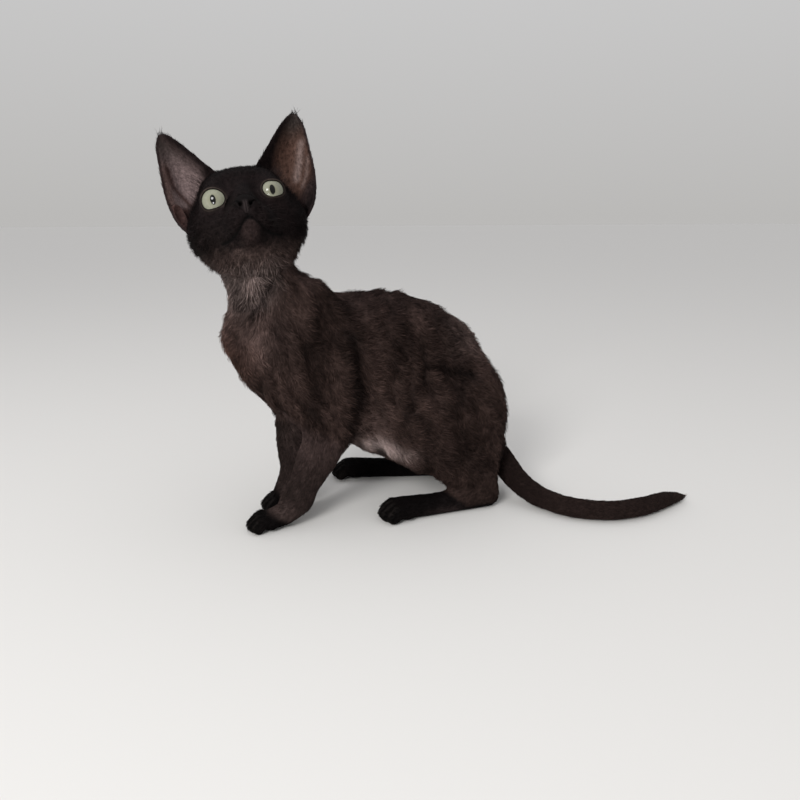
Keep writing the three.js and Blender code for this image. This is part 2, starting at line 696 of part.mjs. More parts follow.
// A lower foreleg starts a little below the elbow. Its block lies ahead of the leg's line, to hold the paw.
const lowerForeleg = (leg, grow = 0) => {
  const [length, halfWide, halfDeep, ahead] = [75, 25, 13.5, 9];
  const along = leg.wrist.clone().sub(leg.elbow).normalize();
  const start = leg.elbow.clone().addScaledVector(along, 4);
  start.add(at(-ahead, 0, 0).projectOnPlane(along));
  return block(start, along, length, halfWide, halfDeep, at(1, 0, 0), grow);
};
const upperForeleg = (leg, grow = 0) => {
  const turn = Math.atan2(leg.shoulder.z - leg.elbow.z, leg.side * (leg.elbow.x - leg.shoulder.x));
  const centre = middle(leg.shoulder, leg.elbow);
  return sidePlug(leg.side, centre.x, centre.z + 1, 43, 18, turn, 15, grow);
};
const hindFoot = ({ side, hock, ball: sole }, grow = 0) => {
  const outline = new THREE.Shape([
    new THREE.Vector2(sole.x - 30, -10),
    new THREE.Vector2(hock.x + 30, -10),
    new THREE.Vector2(hock.x + 30, 22 + grow),
    new THREE.Vector2(hock.x - 5, 22 + grow),
    new THREE.Vector2(hock.x - 16, 16.6 + grow),
    new THREE.Vector2(sole.x - 30, 21 + grow),
  ]);
  const geometry = new THREE.ExtrudeGeometry(outline, { depth: 55 + 2 * grow, bevelEnabled: false });
  const out = new THREE.Matrix4().makeBasis(at(1, 0, 0), at(0, 0, 1), at(0, -1, 0));
  out.setPosition(0, side > 0 ? 70 + grow : -15 + grow, 0);
  return solidFromGeometry(geometry, out);
};
const hindLeg = (leg, grow = 0) => {
  const centre = middle(leg.hip, leg.knee);
  return sidePlug(leg.side, centre.x + 6, centre.z - 12, 43, 36, leg.side * 0.5, 17, grow);
};

function trunk() {
  let whole = region(at(-115, -60, 5), at(90, 62, 175), 2, 3200).intersect(aboveFloor);
  for (const leg of Object.values(limbs)) {
    whole = whole.subtract(lowerForeleg(leg, CUT));
    whole = whole.subtract(hindFoot(leg, CUT));
  }
  whole = whole.subtract(tailSpace(-CUT / 2));
  let bare = whole;
  for (const leg of Object.values(limbs)) {
    bare = bare.subtract(upperForeleg(leg, CUT)).subtract(hindLeg(leg, CUT));
  }
  part("neck", bare.intersect(towards(neckCut)).intersect(away(headCut)), coat);
  part("chest", bare.intersect(away(neckCut)).intersect(towards(chestCut)), coat);
  part("belly", bare.intersect(away(chestCut)).intersect(towards(rumpCut)), coat);
  part("rump", bare.intersect(away(rumpCut)), coat);
  for (const [name, leg] of Object.entries(limbs)) {
    const kneeCut = { point: at(leg.knee.x + 4, 0, leg.knee.z - 7), normal: at(-0.12, 0, 1) };
    const leftover = whole.intersect(away(neckCut));
    part("upper_foreleg_" + name, leftover.intersect(upperForeleg(leg)), coat);
    const hind = leftover.intersect(hindLeg(leg));
    part("thigh_" + name, hind.intersect(towards(kneeCut)), coat);
    part("lower_hind_leg_" + name, hind.intersect(away(kneeCut)), coat);
  }
}

function feet() {
  for (const [name, leg] of Object.entries(limbs)) {
    const { elbow, wrist, hock, ball: sole, side } = leg;
    const fore = region(
      at(wrist.x - 36, wrist.y - 16, -3),
      at(elbow.x + 22, Math.max(elbow.y, wrist.y) + 15, elbow.z + 12),
      0.9,
      920,
    )
      .intersect(lowerForeleg(leg))
      .intersect(aboveFloor);
    const wristCut = { point: at(wrist.x - 1, 0, wrist.z - 2), normal: at(0.6, 0, 0.8) };
    part("forearm_" + name, fore.intersect(towards(wristCut)), coat);
    part("forepaw_" + name, fore.intersect(away(wristCut)), darkCoat);
    const hind = region(
      at(sole.x - 22, Math.min(hock.y, sole.y) - 15, -3),
      at(hock.x + 10.6, Math.max(hock.y, sole.y) + 15, 32),
      0.9,
      720,
    )
      .intersect(hindFoot(leg))
      .intersect(aboveFloor);
    part("hind_foot_" + name, hind, darkCoat);
  }
}

function tail() {
  const whole = region(at(TAIL_START - 2, -92, -3), at(176, 16, 48), 1.5, 700)
    .intersect(tailSpace(CUT / 2))
    .intersect(aboveFloor);
  const near = { point: at(84, -54, 6), normal: at(-0.5, 0.86, 0) };
  const far = { point: at(122, -75, 6), normal: at(-1, 0, 0) };
  part("tail_root", whole.intersect(towards(near)).intersect(towards(far)), darkCoat);
  part("tail_middle", whole.intersect(away(near)).intersect(towards(far)), darkCoat);
  part("tail_tip", whole.intersect(away(far)), darkCoat);
}

const ears = [
  { name: "left", side: 1, spread: 1, height: 1.01 },
  { name: "right", side: -1, spread: 0.92, height: 0.98 },
];

// An ear is a curved sheet. Its inner and outer edges and the middle of its back are three curves from
// the base to the tip, and each level of the sheet is an arc through them.
const innerEdge = [
  [6, 6, 14],
  [5, 10, 20.5],
  [2, 15.8, 27.6],
  [0, 22.5, 36],
  [-2.5, 28.7, 43.2],
  [-4.2, 33, 47.2],
  [-5, 36.2, 48.8],
];
const earBack = [
  [-12, 12, 2],
  [-14, 22, 9],
  [-15, 28, 18],
  [-13, 32.6, 29],
  [-9.5, 35.4, 40],
  [-6.8, 36.8, 45.4],
  [-5.4, 37, 48.4],
];
const outerEdge = [
  [2, 20, -17],
  [2, 30, -12],
  [0, 38, -1],
  [-1, 41.2, 12],
  [-2.5, 41.2, 28],
  [-4, 40.8, 41],
  [-5, 38.2, 48.4],
];
const spreadOut = ({ side, spread }, l) => side * (8 + (l - 8) * spread);
const earCurve = (ear, stations) =>
  new THREE.CatmullRomCurve3(
    stations.map(([f, l, u]) => at(f, spreadOut(ear, l), u > 0 ? u * ear.height : u)),
  );

function earSheet(ear, rows, columns) {
  const [inner, back, outer] = [innerEdge, earBack, outerEdge].map((edge) => earCurve(ear, edge));
  const point = (t, s) => {
    const p = at(0, 0, 0);
    p.addScaledVector(inner.getPoint(t), (s * s - s) / 2);
    p.addScaledVector(back.getPoint(t), 1 - s * s);
    p.addScaledVector(outer.getPoint(t), (s * s + s) / 2);
    return p;
  };
  const points = [];
  const faces = [];
  const count = columns + 1;
  for (const face of [1, -1])
    for (let i = 0; i <= rows; i++)
      for (let j = 0; j <= columns; j++) {
        const t = i / rows;
        const s = (2 * j) / columns - 1;
        const along = point(Math.min(1, t + 0.01), s).sub(point(Math.max(0, t - 0.01), s));
        const across = point(t, Math.min(1, s + 0.01)).sub(point(t, Math.max(-1, s - 0.01)));
        const out = along.cross(across).normalize().multiplyScalar(ear.side);
        const thin = 1 - 0.45 * Math.max(s ** 6, t ** 8);
        const p = point(t, s).addScaledVector(out, (face * EAR_WALL * thin) / 2);
        points.push(...p.applyMatrix4(headAxes).toArray());
      }
  const back0 = (rows + 1) * count;
  const quad = (a, b, c, d) =>
    faces.push(...(ear.side > 0 ? [a, b, c, a, c, d] : [a, c, b, a, d, c]));
  for (let i = 0; i < rows; i++)
    for (let j = 0; j < columns; j++) {
      const n = i * count + j;
      quad(n, n + count, n + count + 1, n + 1);
      quad(back0 + n, back0 + n + 1, back0 + n + count + 1, back0 + n + count);
    }
  for (let i = 0; i < rows; i++) {
    const n = i * count;
    quad(n, back0 + n, back0 + n + count, n + count);
    quad(n + columns, n + columns + count, back0 + n + columns + count, back0 + n + columns);
  }
  for (let j = 0; j < columns; j++) {
    const top = rows * count + j;
    quad(j, j + 1, back0 + j + 1, back0 + j);
    quad(top, back0 + top, back0 + top + 1, top + 1);
  }
  return solidFromMesh({ points, faces });
}

// Solids placed in the axes of the head.
const onHead = (f, l, u) => new THREE.Matrix4().makeTranslation(f, l, u).premultiply(headAxes);
const alongGaze = ({ centre, across, gaze, upper }) =>
  onHead(centre.x, centre.y, centre.z).multiply(new THREE.Matrix4().makeBasis(across, gaze, upper));

const socket = (eye) =>
  solidFromGeometry(new THREE.SphereGeometry(EYE_RADIUS + CUT, 16, 12), alongGaze(eye));

// The angle between the gaze and the edge of the lids, at an angle round the gaze.
function lidAngle({ opening: [mean, ...waves] }, around) {
  const toRadians = THREE.MathUtils.degToRad;
  const wave = ([size, points], n) => size * Math.cos((n + 1) * (around - toRadians(points)));
  return toRadians(waves.map(wave).reduce((a, b) => a + b, mean));
}

// The opening between the lids: a cone from the eyeball's centre, with the opening's outline.
function lidOpening(eye) {
  const depth = 2 * EYE_RADIUS;
  const cone = new THREE.ConeGeometry(depth, depth, 28)
    .rotateX(Math.PI)
    .translate(0, depth / 2, 0);
  const { position } = cone.attributes;
  for (let i = 0; i < position.count; i++) {
    const [x, y, z] = [position.getX(i), position.getY(i), position.getZ(i)];
    const reach = Math.tan(lidAngle(eye, Math.atan2(z, x)));
    position.setXYZ(i, x * reach, y, z * reach);
  }
  return solidFromGeometry(cone, alongGaze(eye));
}

// An eyeball turned on its line of sight, with the cornea standing out at the front.
function eyeball(eye) {
  const rings = 12;
  const corneaEdge = 1.2;
  const profile = [];
  for (let i = 0; i <= rings; i++) {
    const angle = (Math.PI * i) / rings;
    const reach = Math.sqrt(CORNEA_RADIUS ** 2 - (CORNEA_FORWARD * Math.sin(angle)) ** 2);
    const cornea = angle < corneaEdge ? CORNEA_FORWARD * Math.cos(angle) + reach : 0;
    const radius = Math.max(EYE_RADIUS, cornea);
    const off = i % rings === 0 ? 0 : radius * Math.sin(angle);
    profile.unshift(new THREE.Vector2(off, radius * Math.cos(angle)));
  }
  return solidFromGeometry(new THREE.LatheGeometry(profile, 18), alongGaze(eye));
}

const nosePad = (grow = 0) =>
  solidFromGeometry(
    new THREE.SphereGeometry(1, 16, 10).scale(5 + grow, 6 + grow, 4.2 + grow),
    onHead(35.4, 0, -6.6),
  );

// The small double fold of skin low on an ear's outer edge: a shell that is open to the front.
function earPouch(ear) {
  const ellipsoid = (f, l, u, rf, rl, ru) =>
    solidFromGeometry(
      new THREE.SphereGeometry(1, 10, 7).scale(rf, rl, ru).rotateX(-ear.side * 0.2),
      onHead(f, spreadOut(ear, l), u),
    );
  return ellipsoid(-0.4, 35.2, 1.6, 2.8, 3.4, 8).subtract(ellipsoid(1.6, 34.2, 2.4, 3, 2.6, 6.8));
}

// Everything below the upper lip's edge and in front of the corners of the mouth.
function jawBlock(grow = 0) {
  const outline = new THREE.Shape();
  const far = REACH / 8;
  const lipEnd = 24;
  outline.moveTo(-far, -far);
  outline.lineTo(far, -far);
  outline.lineTo(far, mouthHeight(far) + grow);
  for (let l = lipEnd; l >= -lipEnd; l -= 1.5) outline.lineTo(l, mouthHeight(l) + grow);
  outline.lineTo(-far, mouthHeight(far) + grow);
  const geometry = new THREE.ExtrudeGeometry(outline, { depth: far, bevelEnabled: false });
  const along = new THREE.Matrix4().makeBasis(at(0, 1, 0), at(0, 0, 1), at(1, 0, 0));
  return solidFromGeometry(geometry, along.premultiply(onHead(MOUTH_CORNER - grow, 0, 0)));
}

function head() {
  const low = headCentre.clone().sub(at(36, 40, 32));
  const high = headCentre.clone().add(at(36, 36, 32));
  const whole = region(low, high, 0.7, 4360).intersect(towards(headCut));
  const clearance = region(low, high, 1.1, 2400, EAR_GAP);
  for (const ear of ears) {
    const rooted = earSheet(ear, 14, 10).add(earPouch(ear)).subtract(clearance);
    part("ear_" + ear.name, rooted, earSkin);
  }
  let face = whole;
  for (const eye of eyes) {
    face = face.subtract(socket(eye)).subtract(lidOpening(eye));
    part("eye_" + eye.name, eyeball(eye), iris);
  }
  const tip = inHead(35, 0, -7);
  const fine = region(tip.clone().subScalar(9), tip.clone().addScalar(9), 0.4, 1000);
  part("nose", fine.intersect(nosePad()), noseSkin);
  face = face.subtract(nosePad(CUT));
  part("lower_jaw", face.intersect(jawBlock()), coat);
  part("head", face.subtract(jawBlock(CUT)), coat);
}

trunk();
feet();
tail();
head();

const bounds = new THREE.Box3().setFromObject(kitten);
const centre = bounds.getCenter(at(0, 0, 0));
kitten.position.set(-centre.x, -centre.y, -bounds.min.z);

export default kitten;
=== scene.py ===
"""A devon rex kitten as a life-size still model.

One soft skin stands for all the solids of flesh. Its markings, with light and shade painted among them,
come from where each point lies on the animal, and many short tufts along the lie of the coat take their
colours from the same markings. The eyes, the lids, the nose leather and the longer hairs are pieces of
their own.

Lengths are in millimetres until a mesh is made. x, y and z are a place in the design, the millimetres in
which the solids were laid out, and f, l and u are a place in the axes of the head: forward, left and up.
"""
import math
from collections import namedtuple

import bpy
import numpy as np
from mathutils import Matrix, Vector
from mathutils.bvhtree import BVHTree
from mathutils.kdtree import KDTree


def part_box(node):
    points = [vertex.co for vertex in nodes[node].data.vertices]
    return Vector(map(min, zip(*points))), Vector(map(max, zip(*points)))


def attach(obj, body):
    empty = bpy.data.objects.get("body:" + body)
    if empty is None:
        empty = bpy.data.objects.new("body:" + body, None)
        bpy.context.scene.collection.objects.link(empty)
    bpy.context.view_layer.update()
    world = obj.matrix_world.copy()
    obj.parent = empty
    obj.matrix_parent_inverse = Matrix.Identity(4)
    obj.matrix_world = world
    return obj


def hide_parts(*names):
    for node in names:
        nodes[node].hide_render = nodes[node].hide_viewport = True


MM = 0.001
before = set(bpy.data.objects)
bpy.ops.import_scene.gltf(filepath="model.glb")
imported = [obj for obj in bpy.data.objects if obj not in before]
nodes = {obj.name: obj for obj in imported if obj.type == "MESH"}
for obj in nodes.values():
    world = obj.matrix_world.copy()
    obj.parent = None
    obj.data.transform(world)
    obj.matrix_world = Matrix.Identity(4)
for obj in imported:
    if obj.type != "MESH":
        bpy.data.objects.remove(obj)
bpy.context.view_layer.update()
random = np.random.default_rng(11)


# Helpers: vectors are rows of arrays.
def unit(v):
    return v / np.maximum(np.linalg.norm(v, axis=-1, keepdims=True), 1e-9)


def turned(v, axis, angle):
    """A vector turned about a unit axis, by the right hand, in degrees."""
    c, s = math.cos(math.radians(angle)), math.sin(math.radians(angle))
    return v * c + np.cross(axis, v) * s + axis * (axis @ v) * (1 - c)


def ease(low, high, x):
    """From 0 at low to 1 at high, slow at both ends."""
    t = np.clip((x - low) / (high - low), 0, 1)
    return t * t * (3 - 2 * t)


def bump(x, centre, width):
    return np.exp(-(((x - centre) / width) ** 2))


def mix(a, b, t):
    t = np.clip(t, 0, 1)
    return a + (b - a) * (t[:, None] if np.ndim(t) else t)


def values_of(items, name, width, kind=np.float32):
    """An array of one property of a mesh's points, edges or corners."""
    values = np.empty(len(items) * width, kind)
    items.foreach_get(name, values)
    return values.reshape(-1, width)


def points_of(mesh):
    return values_of(mesh.vertices, "co", 3).astype(float) / MM


def in_scene(name, data):
    made = bpy.data.objects.new(name, data)
    bpy.context.scene.collection.objects.link(made)
    return made


# The axes of the head: forward to the nose, left, and up through the crown.
HEAD_TURN = -7
HEAD_RAISE = -15
HEAD_TILT = 9.2
HEAD_CENTRE = np.array((-86.3, -5.2, 173.8))
EYE_CENTRE = (17, 13.2, 1.5)
EYE_RADIUS = 8

UP = np.array((0.0, 0, 1))
forward = turned(turned(np.array((0.0, -1, 0)), np.array((1.0, 0, 0)), HEAD_RAISE), UP, HEAD_TURN)
left = turned(turned(np.array((1.0, 0, 0)), UP, HEAD_TURN), forward, HEAD_TILT)
head_axes = np.array([forward, left, np.cross(forward, left)])


def lid_gaze(side):
    """The direction that the lids are set square to, in the axes of the head."""
    return unit(np.array((0.93, side * 0.34, 0.05)))


def find_head():
    """Where the middle of the head lies in the frame, from the back of the left eyeball."""
    gaze = lid_gaze(1) @ head_axes
    points = points_of(nodes["eye_left"].data)
    back = points[(points @ gaze).argmin()]
    return back + gaze * EYE_RADIUS - np.array(EYE_CENTRE) @ head_axes


head_origin = find_head()
design_shift = head_origin - HEAD_CENTRE


def in_head(points):
    """Points of the frame, in the axes of the head."""
    return (points - head_origin) @ head_axes.T


def on_head(f, l, u):
    """A point of the frame, from the axes of the head."""
    return head_origin + np.array((f, l, u)) @ head_axes


CAMERA_PLACE = np.array((-132.9, -413.9, 171))
CAMERA_WAY = (0.2998, 0.9228, -0.2419)
LENS = 33.35
SENSOR_WIDTH = 36


def make_camera():
    data = bpy.data.cameras.new("camera")
    data.lens = LENS
    data.sensor_width = SENSOR_WIDTH
    data.clip_start = 0.01
    camera = in_scene("camera", data)
    camera.location = (CAMERA_PLACE + design_shift) * MM
    camera.rotation_euler = Vector(CAMERA_WAY).to_track_quat("-Z", "Y").to_euler()
    bpy.context.scene.camera = camera


make_camera()


# Meshes are made from arrays.
def new_object(name, points, faces, smooth=True):
    mesh = bpy.data.meshes.new(name)
    faces = np.asarray(faces, np.int32)
    mesh.vertices.add(len(points))
    mesh.vertices.foreach_set("co", (np.asarray(points, np.float32) * MM).ravel())
    mesh.loops.add(faces.size)
    mesh.loops.foreach_set("vertex_index", faces.ravel())
    mesh.polygons.add(len(faces))
    mesh.polygons.foreach_set("loop_start", np.arange(len(faces), dtype=np.int32) * faces.shape[1])
    mesh.update(calc_edges=True)
    mesh.polygons.foreach_set("use_smooth", np.full(len(faces), smooth))
    return in_scene(name, mesh)


def paint(mesh, colours):
    layer = mesh.color_attributes.new("marking_and_painted_light", "FLOAT_COLOR", "POINT")
    rgba = np.ones((len(mesh.vertices), 4), np.float32)
    rgba[:, :3] = np.clip(colours, 0, 1)
    layer.data.foreach_set("color", rgba.ravel())


def grid_faces(rows, columns, closed=False):
    """Four-sided faces of a grid of points, whose columns may run on into the first."""
    row = np.arange(rows - 1)[:, None] * columns
    column = np.arange(columns if closed else columns - 1)[None]
    after = (column + 1) % columns
    corners = (row + column, row + after, row + columns + after, row + columns + column)
    return np.stack(corners, -1).reshape(-1, 4)


def show(piece, material, replaced=()):
    piece.data.materials.append(material)
    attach(piece, "root")
    if replaced:
        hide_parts(*replaced)


# The skin: the solids of flesh swell until they meet, become one mesh, and lose their facets. It lies
# inside the solids by the depth of the coat.
VOXEL = 0.62
SWELL = 0.3
ROUNDING_STEPS = 36
RETURN_STEPS = 60
FLESH = [name for name in nodes if not name.startswith("eye_")]
SOFTNESS = {
    "nose": 0.3, "ear": 0.35, "head": 0.4, "lower_jaw": 0.35, "forepaw": 0.18, "hind_foot": 0.2,
    "forearm": 0.5, "tail": 0.6,
}
DEPTH = {
    "nose": 0.3, "ear": 0.25, "head": 0.6, "lower_jaw": 0.5, "forepaw": 0.4, "hind_foot": 0.4,
    "forearm": 0.8, "tail": 0.8, "neck": 1.2,
}
BODY_DEPTH = 1.5


class Skin:
    """The skin's points, normals and faces, and the solid that each point belongs to."""


def joined_flesh():
    points, faces, labels, count = [], [], [], 0
    for number, name in enumerate(FLESH):
        mesh = nodes[name].data
        mesh.calc_loop_triangles()
        tris = np.array([t.vertices[:] for t in mesh.loop_triangles])
        co = points_of(mesh)
        _, first, same = np.unique(co.round(4), axis=0, return_index=True, return_inverse=True)
        tris = same.reshape(-1)[tris]
        co = co[first]
        sides = np.cross(co[tris[:, 1]] - co[tris[:, 0]], co[tris[:, 2]] - co[tris[:, 0]])
        normals = np.zeros_like(co)
        for corner in range(3):
            np.add.at(normals, tris[:, corner], sides)
        points.append(co + unit(normals) * SWELL)
        faces.append(tris + count)
        labels.append(np.full(len(tris), number))
        count += len(co)
    return np.concatenate(points), np.concatenate(faces), np.concatenate(labels)


def smoothed(values, steps, weight=1.0):
    """Values at the skin's points, each moved towards the mean of its neighbours."""
    a, b = skin.edges.T
    for _ in range(steps):
        mean = np.empty_like(values)
        for axis in range(values.shape[1]):
            mean[:, axis] = np.bincount(a, values[b, axis], len(values))
            mean[:, axis] += np.bincount(b, values[a, axis], len(values))
        values = values + weight * (mean / skin.degree[:, None] - values)
    return values


def by_node(table, default, steps):
    """A value for each point of the skin, from its solid's name, blurred over the borders."""
    values = [next((v for key, v in table.items() if name.startswith(key)), default) for name in FLESH]
    return smoothed(np.array(values)[skin.labels][:, None], steps)


def share_of(*starts):
    """How far each point belongs to the solids whose names start so, from 0 to 1."""
    return by_node({start: 1.0 for start in starts}, 0.0, 14)[:, 0]


def set_skin(mesh):
    mesh.vertices.foreach_set("co", (skin.points * MM).astype(np.float32).ravel())
    mesh.update()
    skin.normals = values_of(mesh.vertex_normals, "vector", 3).astype(float)


def make_skin():
    points, faces, solid = joined_flesh()
    source = new_object("swollen", points, faces, smooth=False)
    remesh = source.modifiers.new("voxels", "REMESH")
    remesh.mode = "VOXEL"
    remesh.voxel_size = VOXEL * MM
    mesh = bpy.data.meshes.new_from_object(source.evaluated_get(bpy.context.evaluated_depsgraph_get()))
    bpy.data.objects.remove(source)

    skin.mesh = mesh
    skin.points = points_of(mesh)
    skin.edges = values_of(mesh.edges, "vertices", 2, np.int32)
    skin.faces = values_of(mesh.loops, "vertex_index", 1, np.int32).reshape(-1, 4)
    degree = np.bincount(skin.edges.ravel(), minlength=len(skin.points))
    skin.degree = np.maximum(degree, 1).astype(float)
    tree = BVHTree.FromPolygons(points.tolist(), faces.tolist())
    skin.labels = solid[[tree.find_nearest(p)[2] for p in skin.points.tolist()]]

    # The smoothing would shrink the form, so what it takes away on the whole is given back.
    round_form = smoothed(skin.points, ROUNDING_STEPS, 0.5 * by_node(SOFTNESS, 1.0, 12))
    skin.points = round_form + smoothed(skin.points - round_form, RETURN_STEPS, 0.5)
    set_skin(mesh)
    skin.points = skin.points - skin.normals * (SWELL + by_node(DEPTH, BODY_DEPTH, 20))
    set_skin(mesh)


skin = Skin()
make_skin()


def soft_noise(points, size, waves=9):
    """A sum of waves in seeded directions, about this size."""
    directions = unit(random.normal(size=(waves, 3))) * (2 * math.pi / size)
    directions *= random.uniform(0.6, 1.5, (waves, 1))
    phases = random.uniform(0, 2 * math.pi, waves)
    return np.sin(points @ directions.T + phases).sum(1) / math.sqrt(waves)


# Ripples: the coat lies in soft waves across the flank, the shoulders and the back.
RIPPLE_LENGTH = 13
RIPPLE_HEIGHT = 0.4
RIPPLE_WAY = (0.86, 0, 0.3)
RIPPLE_WANDER = 2.4


def ripple(points):
    wander = RIPPLE_WANDER * soft_noise(points, 40, 6)
    return np.sin(2 * math.pi * (points @ RIPPLE_WAY) / RIPPLE_LENGTH + wander)


is_ear = share_of("ear")
is_head = share_of("head", "lower_jaw", "nose", "ear")
is_foreleg = share_of("forearm", "forepaw")
is_hind_foot = share_of("hind_foot")
is_tail = share_of("tail")
is_trunk = 1 - np.clip(is_head + is_foreleg + is_hind_foot + is_tail, 0, 1)
skin.ripple = ripple(skin.points - design_shift) * is_trunk
skin.points = skin.points + skin.normals * (RIPPLE_HEIGHT * (skin.ripple - 1) * is_trunk)[:, None]
set_skin(skin.mesh)
full_skin = BVHTree.FromPolygons(skin.points.tolist(), skin.faces.tolist())


LID_REACH = 17
PAST = 0.05


def skin_ahead(start, way):
    """How far away a ray leaves the skin, or nothing where that is out of reach."""
    start, way = Vector(start), Vector(way)
    gone = 0.0
    while gone < LID_REACH:
        place, normal, _, distance = full_skin.ray_cast(start, way, LID_REACH)
        if place is None:
            break
        gone += distance
        if normal.dot(way) > 0:
            return gone if gone < LID_REACH else np.nan
        start = place + way * PAST
        gone += PAST
    return np.nan


# Eyes and lids. An opening's edge is an angle from the lids' axis, as a round mean with a shift, a
# stretch and corners, each a size and the direction that it points in, all in degrees.
LID_RADIUS = 8.4
LID_ROWS = (0, 0.12, 0.3, 0.55, 0.85, 1.15, 1.5, 1.9, 2.4, 2.9)
LID_SPOKES = 96
LID_HEIGHT = 0.6


class Eye:
    def __init__(self, name, side, look, opening):
        self.name = name
        self.centre = on_head(EYE_CENTRE[0], side * EYE_CENTRE[1], EYE_CENTRE[2])
        gaze = lid_gaze(side)
        across = np.array((0, -1, side * 0.08))
        across = unit(across - gaze * (across @ gaze))
        self.lid_axes = np.array([across, np.cross(across, gaze), gaze]) @ head_axes
        look = unit(np.array(look))
        upper = unit(np.array((0.0, 0, 1)) - look * look[2])
        self.axes = np.array([np.cross(upper, look), upper, look]) @ head_axes
        self.opening = opening

    def edge(self, phi):
        """The angle between the lids' axis and the opening's edge, at a way round it."""
        angle, *waves = self.opening
        for n, (size, way) in enumerate(waves, 1):
            angle = angle + size * np.cos(n * (phi - math.radians(way)))
        return np.radians(angle)

    def polar(self, points):
        """Distance from the eye's middle, distance out from the opening's edge, and the way round."""
        a, b, c = ((points - self.centre) @ self.lid_axes.T).T
        phi = np.arctan2(b, a)
        theta = np.arctan2(np.hypot(a, b), c)
        return np.sqrt(a * a + b * b + c * c), LID_RADIUS * (theta - self.edge(phi)), phi

    def way(self, phi, out):
        """The unit direction from the eye's middle to a place beside the opening's edge."""
        theta = self.edge(phi) + out / LID_RADIUS
        local = (np.sin(theta) * np.cos(phi), np.sin(theta) * np.sin(phi), np.cos(theta))
        return np.stack(local, -1) @ self.lid_axes


EYES = [
    Eye("eye_left", 1, (0.983, 0.172, -0.068), (35.5, (0.3, -86), (7.5, -8), (1.2, 44))),
    Eye("eye_right", -1, (0.974, -0.188, -0.128), (39.9, (6.6, -110), (5.3, 2), (2.6, -34))),
]

CORNEA_RADIUS = 6
CORNEA_FORWARD = 2.7


def eye_profile(cosine):
    """The eye's radius at an angle from where it looks: a globe with the cornea standing out."""
    reach = np.sqrt(CORNEA_RADIUS**2 - CORNEA_FORWARD**2 * (1 - cosine**2))
    return np.maximum(EYE_RADIUS, CORNEA_FORWARD * cosine + reach)


def lid_points(eye):
    """The lids, row by row out from the opening: a rim on the glass, a ridge, and down to the skin."""
    phi = np.linspace(0, 2 * math.pi, LID_SPOKES, endpoint=False)
    out = np.array(LID_ROWS)[:, None]
    ways = eye.way(phi[None], out)
    outer = np.array([[skin_ahead(eye.centre, way) for way in row] for row in ways])
    for row in range(len(LID_ROWS) - 2, -1, -1):
        outer[row] = np.where(np.isnan(outer[row]), outer[row + 1], outer[row])
    outer = np.where(np.isnan(outer), EYE_RADIUS + 1.5, outer)
    upper = 0.35 + 0.65 * np.clip(np.sin(phi), 0, 1)[None]
    glass = eye_profile(np.clip(ways @ eye.axes[2], -1, 1))
    lid = glass - 0.1 + 0.25 * ease(0, 0.12, out) + LID_HEIGHT * (1 - np.exp(-out / 0.35))
    lid = lid + upper * (0.15 * bump(out, 0.8, 0.25) - 0.2 * bump(out, 1.3, 0.25))
    radius = lid + (outer + 0.06 - lid) * ease(0.6, 1.9, out)
    radius[-1] = outer[-1] - 0.5
    return eye.centre + ways * radius[..., None], np.broadcast_to(upper, radius.shape)


lids = [lid_points(eye) for eye in EYES]

# The nose leather is a fine patch of its own on the front of the skin. Its outline is height up the head
# and distance from its middle, and a nostril is a hole and the far end of its slit.
NOSE_MIDDLE = -0.3
NOSE_OUTLINE = ((-13, -4), (-11, 0.7), (-9.4, 1.4), (-7.8, 3.4), (-5.6, 4.9), (-3.4, 4.4), (-2.2, 2.4),
                (-1, -4))
NOSE_ACROSS = (-6, 5.5)
NOSE_UP = (-11.7, -1.2)
NOSE_STEP = 0.15
NOSTRILS = [(2.3, -6.8, 4.7, -5.6), (-2.4, -6.6, -4.8, -4.1)]
BEFORE_FACE = 60


def leather_margin(l, u):
    """How far inside the outline of the nose leather a place is, in millimetres."""
    return np.interp(u, *zip(*NOSE_OUTLINE)) - abs(l - NOSE_MIDDLE)


def near_line(x, y, ax, ay, bx, by):
    """Distance from a straight line between two points, in a plane."""
    t = np.clip(((x - ax) * (bx - ax) + (y - ay) * (by - ay)) / ((bx - ax) ** 2 + (by - ay) ** 2), 0, 1)
    return np.hypot(x - ax - t * (bx - ax), y - ay - t * (by - ay))


def near_path(x, y, *corners):
    """Distance from a path of straight lines, in a plane."""
    return np.min([near_line(x, y, *a, *b) for a, b in zip(corners, corners[1:])], axis=0)


def nose_patch():
    """The points of the nose leather and their colours."""
    l, u = np.meshgrid(np.arange(*NOSE_ACROSS, NOSE_STEP), np.arange(*NOSE_UP, NOSE_STEP))
    ahead = np.empty(l.shape)
    for index in np.ndindex(l.shape):
        start = Vector(on_head(BEFORE_FACE, l[index], u[index]))
        ahead[index] = BEFORE_FACE - full_skin.ray_cast(start, Vector(-forward), BEFORE_FACE)[3]
    inside = ease(-0.8, 0.7, leather_margin(l, u))
    rise = -0.4 + 0.35 * inside
    dark = np.zeros(l.shape)
    for al, au, bl, bu in NOSTRILS:
        hole = bump(l, al, 0.85) * bump(u, au, 0.7)
        slit = bump(near_line(l, u, al, au, bl, bu), 0, 0.4)
        wing = bump(l, (al + bl) / 2, 1.3) * bump(u, bu + 0.6, 1.2)
        rise += 0.3 * wing - 2.2 * hole - 0.7 * slit
        dark = np.maximum(dark, np.maximum(hole, 0.9 * slit))
    cleft = bump(l, NOSE_MIDDLE + 0.1, 0.28) * ease(-4.6, -6.4, u)
    rise -= 0.35 * cleft
    column = bump(l, NOSE_MIDDLE, 1.3) * ease(-4.6, -6.6, u)
    points = head_origin + np.stack([ahead + rise, l, u], -1) @ head_axes
    tone = mix(LEATHER, SEPTUM, column.ravel())
    # Painted shade in the nostrils, their slits and the cleft.
    tone = mix(tone, LEATHER * 0.25, np.maximum(dark, 0.6 * cleft).ravel())
    return points, mix(FACE, tone, inside.ravel())


PRESSED_RADIUS = 7.2
PRESSED_NOSE = 2.6


